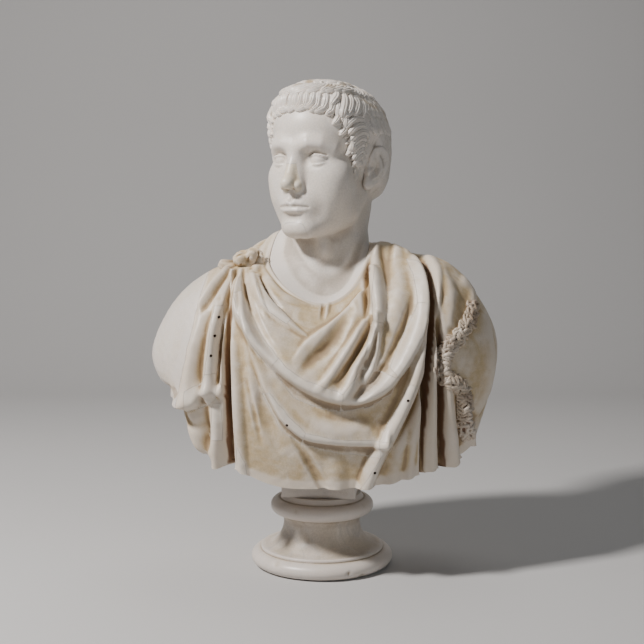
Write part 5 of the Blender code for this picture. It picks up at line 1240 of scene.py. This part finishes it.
def finish_piece(piece, body, slot, nodes, rounds=24, depth=0.0010, crust_and_shade=None):
    """Stone, shading and wear of a piece, and its place in the frame. Hollows and crests are how far a point
    lies below or above its neighbourhood, smoothed by rounds, as a share of depth; the stone darkens the
    hollows with dirt and painted shade."""
    mesh = piece.data
    mesh.materials.clear()
    mesh.materials.append(stone(slot))
    mesh.shade_smooth()
    mesh.set_sharp_from_angle(angle=math.radians(50))
    points, edges, normals = read_mesh(mesh)
    hollow = hollowness(points, edges, normals, rounds)
    # Hollows: the stone darkens them as dirt and painted shade.
    set_attribute(mesh, "hollow", np.clip(hollow / depth, 0.0, 1.0))
    set_attribute(mesh, "crest", np.clip(-hollow / depth, 0.0, 1.0))
    # Crust mask: brown crust, and painted shade where it follows the torso's deep clefts and the gaps
    # between the curls.
    set_attribute(mesh, "crust_and_shade", np.zeros(len(points)) if crust_and_shade is None else crust_and_shade(points))
    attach(piece, body)
    if nodes:
        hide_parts(*nodes)
    return piece


def cleft_crust_and_shade(points):
    """Mask of brown crust and painted shade in the deep clefts between hanging folds and in the gaps between
    the curls.
    """
    height, _ = cloth_relief(points)
    front = ease(-0.02, 0.03, -points[:, 1])
    # Painted shade and brown crust, stronger where the relief goes deeper.
    mask = ease(0.005, 0.020, -height)
    beside = points[:, 0] > 0.15
    share, distance, _, _ = along(points[beside, 0] / MM, (points[beside, 2] - SEAT) / MM, FRINGE_PATH)
    # The gaps between the curls get painted shade and brown crust as well.
    curls = (1.0 - ease(6.0, 12.0, np.abs(distance))) * ease(0.09, 0.15, share) * ease(1.0, 0.95, share)
    mask[beside] = np.maximum(mask[beside], 0.8 * curls)
    return mask * front


def hair_patina(points):
    """Mask of the brown crust on top and at the back of the hair."""
    local = in_head_frame(points)
    high = ease(0.055, 0.100, local[:, 2] + 0.4 * local[:, 1] + 0.012 * ripple(points, 0.045, 31))
    hair = ease(0.0, 0.01, local[:, 2] - hair_edge(local))
    spots = ease(-0.2, 0.6, ripple(points, 0.030, 32))
    return 0.55 * high * hair * (0.3 + 0.7 * spots)


def rod(start, end, radius, sides=20):
    """Skin of a round bar between two points."""
    start = np.array(start, float)
    end = np.array(end, float)
    axis = (end - start) / np.linalg.norm(end - start)
    helper = np.array((0.0, 0.0, 1.0)) if abs(axis[2]) < 0.9 else np.array((1.0, 0.0, 0.0))
    u = np.cross(helper, axis)
    u /= np.linalg.norm(u)
    w = np.cross(axis, u)
    angles = np.arange(sides) * 2 * math.pi / sides
    ring = radius * (np.cos(angles)[:, None] * u + np.sin(angles)[:, None] * w)
    return ring_skin([start + ring, end + ring], start, end, rising=True)


def hand_cut(outline):
    """Outline in metres with its sides broken up and set off a little, as a mason's joint runs; the offset
    depends on the place alone, so two patches that share a side stay parallel."""
    points = np.array([(x * MM, SEAT + z * MM) for x, z in outline])
    area = np.sum(points[:, 0] * np.roll(points[:, 1], -1) - np.roll(points[:, 0], -1) * points[:, 1])
    points = points if area > 0 else points[::-1]
    after = np.roll(points, -1, axis=0)
    sides = []
    for a, b in zip(points, after):
        count = max(2, int(np.linalg.norm(b - a) / 0.004))
        sides.append(a + (b - a) * (np.arange(count) / count)[:, None])
    line = np.concatenate(sides)
    shift = np.stack([ripple(line, 0.022, 41), ripple(line, 0.022, 42)], -1)
    return line + 0.0007 * shift


def offset(points, distance):
    """Outline with every side moved out by a distance; the outline runs anticlockwise."""
    ahead = np.roll(points, -1, axis=0) - points
    ahead /= np.linalg.norm(ahead, axis=1, keepdims=True)
    normal = np.stack([ahead[:, 1], -ahead[:, 0]], -1)
    before = np.roll(normal, 1, axis=0)
    mitre = normal + before
    mitre /= np.maximum(1.0 + np.sum(normal * before, axis=1), 0.4)[:, None]
    return points + distance * mitre


def prism(outline, front, back):
    """Vertices and faces of an outline in x and height, run through from front to back."""
    count = len(outline)
    verts = [(x, front, z) for x, z in outline] + [(x, back, z) for x, z in outline]
    faces = [tuple(range(count)), tuple(reversed(range(count, 2 * count)))]
    for j in range(count):
        k = (j + 1) % count
        faces.append((j, count + j, count + k, k))
    return verts, faces


def rounded_prism(box, grow):
    """Vertices and faces of a box, grown all round, whose outline seen from the front is the superellipse
    x^4 + z^4 = 1 on its half sizes."""
    low = np.array(box[0]) - grow
    high = np.array(box[1]) + grow
    turn = np.linspace(0.0, 2 * math.pi, 64, endpoint=False)
    round_off = np.stack([np.cos(turn), np.sin(turn)], -1)
    round_off = np.sign(round_off) * np.sqrt(np.abs(round_off))
    middle = 0.5 * (low + high)
    half = 0.5 * (high - low)
    return prism(middle[[0, 2]] + half[[0, 2]] * round_off, low[1], high[1])


# Stones

def add_group(name, inputs, outputs):
    """Empty shader group with its sockets, and its input and output nodes."""
    group = bpy.data.node_groups.new(name, "ShaderNodeTree")
    for label, kind, value in inputs:
        socket = group.interface.new_socket(label, in_out="INPUT", socket_type=kind)
        socket.default_value = value
    for label, kind in outputs:
        group.interface.new_socket(label, in_out="OUTPUT", socket_type=kind)
    return group, group.nodes.new("NodeGroupInput"), group.nodes.new("NodeGroupOutput")


class Wiring:
    """Short calls for adding and linking shader nodes."""

    def __init__(self, tree):
        self.tree = tree

    def put(self, socket, value):
        """Links a socket, or sets a plain value."""
        if isinstance(value, bpy.types.NodeSocket):
            self.tree.links.new(value, socket)
        else:
            socket.default_value = value

    def noise(self, vector, scale, detail, roughness=0.55, distortion=0.0):
        """Noise from 0 to 1."""
        node = self.tree.nodes.new("ShaderNodeTexNoise")
        values = {"Vector": vector, "Scale": scale, "Detail": detail, "Roughness": roughness,
                  "Distortion": distortion}
        for name, value in values.items():
            self.put(node.inputs[name], value)
        return node.outputs["Fac"]

    def math(self, operation, a, b=0.0):
        """Sum, product or the like of two values."""
        node = self.tree.nodes.new("ShaderNodeMath")
        node.operation = operation
        self.put(node.inputs[0], a)
        self.put(node.inputs[1], b)
        return node.outputs[0]

    def band(self, value, low, high, start=0.0, end=1.0):
        """Smooth step of a value from low to high, run from start to end."""
        node = self.tree.nodes.new("ShaderNodeMapRange")
        node.interpolation_type = "SMOOTHSTEP"
        values = {"Value": value, "From Min": low, "From Max": high, "To Min": start, "To Max": end}
        for name, number in values.items():
            self.put(node.inputs[name], number)
        return node.outputs["Result"]

    def blend(self, share, a, b, mode="MIX"):
        """Mix of two colours."""
        node = self.tree.nodes.new("ShaderNodeMix")
        node.data_type = "RGBA"
        node.blend_type = mode
        self.put(node.inputs["Factor"], share)
        self.put(node.inputs[6], a)
        self.put(node.inputs[7], b)
        return node.outputs[2]

    def attribute(self, name):
        """The number that a mesh holds under a name."""
        node = self.tree.nodes.new("ShaderNodeAttribute")
        node.attribute_name = name
        return node.outputs["Fac"]


# Colours and amounts of the shared ageing. The dirt colour paints dirt and painted shade into hollows. The
# crust colour paints brown crust, and painted shade where its mask follows deep clefts.
AGEING_COLOURS = ("Base", "Vein", "Stain", "Crust and Shade", "Dirt and Shade")
AGEING_AMOUNTS = ("Vein Amount", "Stain Amount", "Dirt and Shade Amount", "Polish")


def aged_stone_group():
    """Shared ageing of all stones, made at its first use: mottling, veins, ochre stains, brown crust that is
    painted shade as well where its mask follows deep clefts, dirt and painted shade in hollows, and rubbed
    crests."""
    found = bpy.data.node_groups.get("aged_stone")
    if found:
        return found
    inputs = [(label, "NodeSocketColor", (0.7, 0.65, 0.6, 1.0)) for label in AGEING_COLOURS]
    inputs += [(label, "NodeSocketFloat", 0.5) for label in AGEING_AMOUNTS]
    outputs = [("Color", "NodeSocketColor"), ("Roughness", "NodeSocketFloat"), ("Height", "NodeSocketFloat")]
    group, given, result = add_group("aged_stone", inputs, outputs)
    w = Wiring(group)
    place = group.nodes.new("ShaderNodeTexCoord").outputs["Object"]
    mottle = w.noise(place, 11.0, 5.0, 0.6)
    blotch = w.noise(place, 26.0, 6.0, 0.62, 0.6)
    speck = w.noise(place, 420.0, 3.0, 0.6)
    bed = w.noise(place, 6.0, 4.0, 0.55, 1.6)
    vein = w.band(w.math("ABSOLUTE", w.math("SUBTRACT", bed, 0.5)), 0.0, 0.045, 1.0, 0.0)
    hollow = w.attribute("hollow")
    crest = w.attribute("crest")
    # Crust mask: brown crust, and on the torso painted shade in the deep clefts and between the curls.
    crust = w.attribute("crust_and_shade")
    veins = w.math("MULTIPLY", vein, given.outputs["Vein Amount"])
    colour = w.blend(veins, given.outputs["Base"], given.outputs["Vein"])
    stain = w.math("MULTIPLY", w.band(mottle, 0.24, 0.54), w.band(blotch, 0.18, 0.58))
    # Hollows deepen the stain: stain gathered there, and painted shade.
    stain = w.math("ADD", stain, w.math("MULTIPLY", hollow, 0.45))
    stain = w.math("MINIMUM", w.math("MULTIPLY", stain, given.outputs["Stain Amount"]), 1.0)
    colour = w.blend(stain, colour, given.outputs["Stain"])
    tone = w.band(speck, 0.30, 0.70, 0.90, 1.06)
    colour = w.blend(1.0, colour, tone, "MULTIPLY")
    colour = w.blend(w.math("MULTIPLY", crest, 0.75), colour, given.outputs["Base"])
    patches = w.math("SUBTRACT", blotch, 0.5)
    ragged = w.band(w.math("ADD", crust, w.math("MULTIPLY", patches, 0.9)), 0.15, 0.85)
    colour = w.blend(ragged, colour, given.outputs["Crust and Shade"])
    # Dirt and painted shade in hollows, darker the deeper a point lies below its neighbourhood.
    dirt_and_shade = w.math("MULTIPLY", w.band(hollow, 0.10, 0.95), given.outputs["Dirt and Shade Amount"])
    dirt_and_shade = w.math("MULTIPLY", dirt_and_shade, w.band(blotch, 0.20, 0.60, 0.45, 1.0))
    colour = w.blend(dirt_and_shade, colour, given.outputs["Dirt and Shade"])
    rough = w.math("ADD", given.outputs["Polish"], w.math("MULTIPLY", hollow, 0.25))
    rough = w.math("ADD", rough, w.math("MULTIPLY", patches, 0.20))
    pitting = w.math("MULTIPLY", w.noise(place, 95.0, 4.0), 0.65)
    grain = w.math("ADD", w.math("MULTIPLY", speck, 0.35), pitting)
    for name, value in (("Color", colour), ("Roughness", rough), ("Height", grain)):
        w.put(result.inputs[name], value)
    return group


def add_material(name, values, subsurface=0.0, metallic=0.0, relief=0.30):
    """Principled stone or metal with the shared ageing; values are the group's own inputs."""
    material = bpy.data.materials.new(name)
    material.use_nodes = True
    tree = material.node_tree
    shader = tree.nodes["Principled BSDF"]
    ageing = tree.nodes.new("ShaderNodeGroup")
    ageing.node_tree = aged_stone_group()
    for label, value in values.items():
        ageing.inputs[label].default_value = (*value, 1.0) if hasattr(value, "__len__") else value
    bump = tree.nodes.new("ShaderNodeBump")
    bump.inputs["Strength"].default_value = relief
    bump.inputs["Distance"].default_value = 0.0006
    tree.links.new(ageing.outputs["Height"], bump.inputs["Height"])
    tree.links.new(bump.outputs["Normal"], shader.inputs["Normal"])
    tree.links.new(ageing.outputs["Color"], shader.inputs["Base Color"])
    tree.links.new(ageing.outputs["Roughness"], shader.inputs["Roughness"])
    shader.inputs["Metallic"].default_value = metallic
    shader.inputs["Subsurface Weight"].default_value = subsurface
    shader.inputs["Subsurface Radius"].default_value = (1.0, 0.75, 0.55)
    shader.inputs["Subsurface Scale"].default_value = 0.003
    return material


def stone(slot):
    """The stone or metal of a slot, made at its first use from the colours in the panel: the colours of the
    shared ageing in their order, and then its amounts."""
    name = f"bust_{slot}"
    found = bpy.data.materials.get(name)
    if found:
        return found
    look = bpy.context.scene.bust_looks
    recipes = {
        # The fifth colour of each recipe paints dirt and painted shade into hollows.
        "head_marble": (look.head, (0.50, 0.50, 0.50), (0.66, 0.58, 0.46), look.crust, (0.20, 0.15, 0.11),
                        0.16, 0.35, 0.45, 0.40),
        # Torso crust colour: brown crust and painted shade in the deep clefts.
        "torso_marble": (look.torso, (0.48, 0.42, 0.33), look.stain, (0.17, 0.092, 0.052),
                         (0.24, 0.155, 0.085), 0.12, 1.0, 0.65, 0.46),
        "arm_marble": (look.arm, (0.52, 0.48, 0.42), (0.60, 0.50, 0.36), look.crust, (0.20, 0.14, 0.09),
                       0.10, 0.50, 0.60, 0.44),
        "patch_marble": (look.patch, (0.42, 0.43, 0.45), (0.56, 0.45, 0.315), (0.16, 0.08, 0.04),
                         (0.18, 0.12, 0.075), 0.30, 0.85, 0.60, 0.42),
        "face_repair": (look.repair, (0.55, 0.48, 0.38), (0.60, 0.48, 0.30), look.crust, (0.20, 0.14, 0.09),
                        0.05, 0.45, 0.60, 0.42),
        "socle_marble": (look.socle, (0.38, 0.38, 0.38), (0.50, 0.42, 0.31), look.crust, (0.16, 0.11, 0.07),
                         0.45, 0.60, 0.50, 0.36),
        "iron": ((0.050, 0.040, 0.034), (0.09, 0.05, 0.03), (0.13, 0.055, 0.025), (0.25, 0.13, 0.06),
                 (0.03, 0.02, 0.015), 0.30, 0.80, 0.50, 0.62),
    }
    values = dict(zip(AGEING_COLOURS + AGEING_AMOUNTS, recipes[slot]))
    if slot == "iron":
        return add_material(name, values, metallic=1.0, relief=0.6)
    return add_material(name, values, subsurface=0.12)


# Panel values

def count_value(label, text, default, low, high):
    """Count in the panel."""
    return IntProperty(name=label, description=text, default=default, min=low, max=high)


def colour_value(label, text, default):
    """Colour in the panel."""
    return FloatVectorProperty(name=label, description=text, subtype="COLOR", size=3, min=0.0, max=1.0,
                               default=default)


class BustSizes(bpy.types.PropertyGroup):
    """Sizes that may be changed before the bust is built"""

    seam: FloatProperty(name="Seam", description="Gap between an inset patch and the block", default=0.00032,
                        min=0.0001, max=0.003, unit="LENGTH", precision=5)
    torso_columns: count_value("Torso columns", "Points round the torso", 540, 80, 600)
    torso_rows: count_value("Torso rows", "Points down the torso", 168, 40, 176)
    head_columns: count_value("Head columns", "Points round the head", 360, 80, 380)
    head_rows: count_value("Head rows", "Points from chin to crown", 196, 40, 210)
    neck_rows: count_value("Neck rows", "Points up the neck", 22, 6, 60)


class BustLooks(bpy.types.PropertyGroup):
    """Colours of the stones"""

    head: colour_value("Head", "White marble of the head, the neck and the chin", (0.722, 0.67, 0.619))
    torso: colour_value("Torso", "Cream marble of the draped block", (0.69, 0.615, 0.53))
    arm: colour_value("Arm", "Pale marble of the bare shoulder", (0.66, 0.61, 0.56))
    patch: colour_value("Patches", "Whiter marble of the inset repairs", (0.715, 0.655, 0.575))
    repair: colour_value("Nose repair", "Creamy marble of the nose", (0.75, 0.69, 0.59))
    socle: colour_value("Socle", "Grey white marble of the foot", (0.655, 0.60, 0.55))
    stain: colour_value("Stain", "Ochre stains of the torso", (0.50, 0.385, 0.225))
    crust: colour_value("Crust and Shade", "Brown crust on the hair", (0.33, 0.24, 0.13))
    floor: colour_value("Floor", "Plain floor and backdrop", (0.52, 0.515, 0.51))


# Operators

class BUST_OT_socle(bpy.types.Operator):
    """Build the turned socle and the tablet on it"""

    bl_idname = "bust.socle"
    bl_label = "Socle and tablet"

    def execute(self, context):
        socle = add_object("bust_socle", *socle_mesh())
        finish_piece(socle, "socle", "socle_marble", ["socle"], rounds=16, depth=0.0006)
        tablet = add_object("bust_tablet", *tablet_mesh())
        finish_piece(tablet, "bust", "socle_marble", ["tablet"], rounds=8, depth=0.0005)
        return {"FINISHED"}


class BUST_OT_torso(bpy.types.Operator):
    """Build the draped block, its inset patches, the arm and the pins that show"""

    bl_idname = "bust.torso"
    bl_label = "Torso and insets"

    def execute(self, context):
        sizes = context.scene.bust_sizes
        skin, outside = torso_mesh(sizes.torso_columns, sizes.torso_rows)
        torso = add_object("bust_torso", *skin)
        curls = add_object("bust_fringe", *curl_bars(outside))
        cut(torso, *pillar_mesh(), "UNION")
        probe = add_object("probe", *skin)
        bpy.context.view_layer.update()

        def depth_at(x, z):
            hit, place, _, _ = probe.ray_cast(Vector((x, CUT_FRONT, z)), Vector((0.0, 1.0, 0.0)))
            return place.y if hit else None

        patches = {}
        backs = {}
        gap = 0.5 * sizes.seam
        for name, outline in PATCHES.items():
            line = hand_cut(outline)
            met = [depth for depth in (depth_at(x, z) for x, z in line) if depth is not None]
            back = min(max(met), np.median(met) + PATCH_DEEPEST) + PATCH_DEPTH
            backs[name] = back
            patch = add_object(f"bust_{name}", *skin)
            cut(patch, *prism(offset(line, -gap), CUT_FRONT, back - gap), "INTERSECT")
            cut(torso, *prism(offset(line, gap), CUT_FRONT, back + gap), "DIFFERENCE")
            patches[name] = patch
        arm_line = hand_cut(ARM_OUTLINE)
        arm = add_object("bust_right_arm", *skin)
        cut(arm, *prism(offset(arm_line, -gap), CUT_FRONT, CUT_BACK), "INTERSECT")
        cut(torso, *prism(offset(arm_line, gap), CUT_FRONT, CUT_BACK), "DIFFERENCE")
        pins = {}
        for name, (patch, (x, z)) in FOLD_PINS.items():
            x, z = x * MM, SEAT + z * MM
            front = depth_at(x, z) + FOLD_PIN_RECESS
            end = backs[patch] + FOLD_PIN_ANCHORAGE
            pin = add_object(f"bust_{name}", *rod((x, front, z), (x, end, z), FOLD_PIN_RADIUS))
            hole = rod((x, CUT_FRONT, z), (x, end + CLEARANCE, z), FOLD_PIN_RADIUS + CLEARANCE)
            cut(patches[patch], *hole, "DIFFERENCE")
            cut(torso, *hole, "DIFFERENCE")
            pins[name] = pin
        bpy.data.objects.remove(probe)
        for piece in (torso, arm, *patches.values()):
            settle(piece)
        finish_piece(torso, "bust", "torso_marble", ["torso"], crust_and_shade=cleft_crust_and_shade)
        finish_piece(curls, "bust", "torso_marble", [], rounds=4,
                     crust_and_shade=lambda points: np.full(len(points), CURL_PATINA))
        finish_piece(arm, "bust", "arm_marble", ["right_arm"])
        for name, patch in patches.items():
            finish_piece(patch, "bust", "patch_marble", [name])
        for name, pin in pins.items():
            finish_piece(pin, "bust", "iron", [name], rounds=2)
        return {"FINISHED"}


class BUST_OT_knot(bpy.types.Operator):
    """Build the knot of the cloak on the right shoulder"""

    bl_idname = "bust.knot"
    bl_label = "Shoulder knot"

    def execute(self, context):
        knot = add_object("bust_shoulder_knot", *knot_mesh())
        finish_piece(knot, "bust", "torso_marble", ["shoulder_knot"], rounds=12, depth=0.0007)
        return {"FINISHED"}


class BUST_OT_head(bpy.types.Operator):
    """Build the head with its neck, hair and ears, and the repairs of nose and chin"""

    bl_idname = "bust.head"
    bl_label = "Head"

    def execute(self, context):
        sizes = context.scene.bust_sizes
        skin = head_mesh(sizes.head_columns, sizes.neck_rows, sizes.head_rows)
        head = add_object("bust_head", *skin)
        gap = 0.5 * sizes.seam
        repairs = (("nose_repair", NOSE_BOX, "face_repair"), ("chin_repair", CHIN_BOX, "head_marble"))
        for name, box, marble in repairs:
            piece = add_object(f"bust_{name}", *skin)
            for target, grow, operation in ((piece, -gap, "INTERSECT"), (head, gap, "DIFFERENCE")):
                verts, faces = rounded_prism(box, grow)
                cut(target, from_head_frame(verts), faces, operation)
            settle(piece)
            finish_piece(piece, "bust", marble, [name], rounds=12)
        for sign in (-1, 1):
            cut(head, *ear_mesh(sign), "UNION")
        settle(head)
        finish_piece(head, "bust", "head_marble", ["head"], rounds=14, depth=0.0012, crust_and_shade=hair_patina)
        locks = add_object("bust_hair", *hair_bars())
        finish_piece(locks, "bust", "head_marble", [], rounds=6, crust_and_shade=hair_patina)
        return {"FINISHED"}


class BUST_OT_irons(bpy.types.Operator):
    """Give the dowels and pins inside the stone their metal"""

    bl_idname = "bust.irons"
    bl_label = "Hidden dowels"

    def execute(self, context):
        for name in HIDDEN_IRONS:
            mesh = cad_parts[name].data
            mesh.materials.clear()
            mesh.materials.append(stone("iron"))
        return {"FINISHED"}


def backdrop_sheet():
    """Vertices and quads of floor and backdrop in one sheet: a level run, a quarter turn and an upright run
    along y, carried across x."""
    turn = np.linspace(0.0, 0.5 * math.pi, 16)
    y = np.concatenate([[-6.0], 1.6 + 0.9 * np.sin(turn), [2.5]])
    z = np.concatenate([[0.0], 0.9 - 0.9 * np.cos(turn), [5.0]])
    x = np.linspace(-6.0, 6.0, 9)
    columns = len(x)
    grid = np.stack([x + 0 * y[:, None], y[:, None] + 0 * x, z[:, None] + 0 * x], -1)
    i, j = np.meshgrid(np.arange(len(y) - 1), np.arange(columns - 1), indexing="ij")
    a = i * columns + j
    faces = np.stack([a, a + 1, a + columns + 1, a + columns], -1).reshape(-1, 4)
    return grid.reshape(-1, 3), faces


def stage_paper(tint):
    """Matt paper of a tint, faintly uneven."""
    paint = bpy.data.materials.new("stage_paper")
    paint.use_nodes = True
    paper = paint.node_tree
    w = Wiring(paper)
    place = paper.nodes.new("ShaderNodeTexCoord").outputs["Object"]
    shader = paper.nodes["Principled BSDF"]
    shade = w.blend(w.noise(place, 1.5, 3.0), (*tint, 1.0), (*(0.96 * c for c in tint), 1.0))
    w.put(shader.inputs["Base Color"], shade)
    shader.inputs["Roughness"].default_value = 0.85
    return paint


def facing(place, target):
    """Turn of a lamp or camera at a place that faces a target."""
    return (Vector(target) - Vector(place)).to_track_quat("-Z", "Y").to_euler()


class BUST_OT_stage(bpy.types.Operator):
    """Set the floor, the lights and the camera"""

    bl_idname = "bust.stage"
    bl_label = "Stage"

    def execute(self, context):
        scene = context.scene
        floor = add_object("stage_floor", *backdrop_sheet())
        floor.data.shade_smooth()
        floor.data.materials.append(stage_paper(tuple(scene.bust_looks.floor)))
        for name, (place, size, power, tint) in LAMPS.items():
            data = bpy.data.lights.new(f"stage_{name}", "AREA")
            data.energy = power
            data.size = size
            data.color = tint
            lamp = bpy.data.objects.new(f"stage_{name}", data)
            lamp.location = place
            lamp.rotation_euler = facing(place, LAMP_TARGET)
            scene.collection.objects.link(lamp)
        world = bpy.data.worlds.new("stage_world")
        world.use_nodes = True
        background = world.node_tree.nodes["Background"]
        background.inputs["Color"].default_value = (0.80, 0.85, 0.92, 1.0)
        background.inputs["Strength"].default_value = 0.08
        scene.world = world
        data = bpy.data.cameras.new("photo_camera")
        data.lens = LENS
        data.sensor_width = SENSOR
        camera = bpy.data.objects.new("photo_camera", data)
        camera.location = CAMERA_PLACE
        camera.rotation_euler = facing(CAMERA_PLACE, CAMERA_TARGET)
        scene.collection.objects.link(camera)
        scene.camera = camera
        return {"FINISHED"}


class BUST_PT_panel(bpy.types.Panel):
    """Lists the values and the building steps"""

    bl_idname = "BUST_PT_panel"
    bl_label = "Marble bust"
    bl_space_type = "VIEW_3D"
    bl_region_type = "UI"
    bl_category = "Marble bust"

    def draw(self, context):
        layout = self.layout
        for group in (context.scene.bust_sizes, context.scene.bust_looks):
            box = layout.box()
            for name in group.__annotations__:
                box.prop(group, name)
        for operator in OPERATORS:
            layout.operator(operator.bl_idname)


OPERATORS = (BUST_OT_socle, BUST_OT_torso, BUST_OT_knot, BUST_OT_head, BUST_OT_irons, BUST_OT_stage)
CLASSES = (BustSizes, BustLooks, *OPERATORS, BUST_PT_panel)


def register():
    for cls in CLASSES:
        bpy.utils.register_class(cls)
    bpy.types.Scene.bust_sizes = PointerProperty(type=BustSizes)
    bpy.types.Scene.bust_looks = PointerProperty(type=BustLooks)


def unregister():
    del bpy.types.Scene.bust_looks
    del bpy.types.Scene.bust_sizes
    for cls in reversed(CLASSES):
        bpy.utils.unregister_class(cls)


def main():
    """Builds the bust and its stage."""
    register()
    bpy.ops.bust.socle()
    bpy.ops.bust.torso()
    bpy.ops.bust.knot()
    bpy.ops.bust.head()
    bpy.ops.bust.irons()
    bpy.ops.bust.stage()


if __name__ == "__main__":
    main()
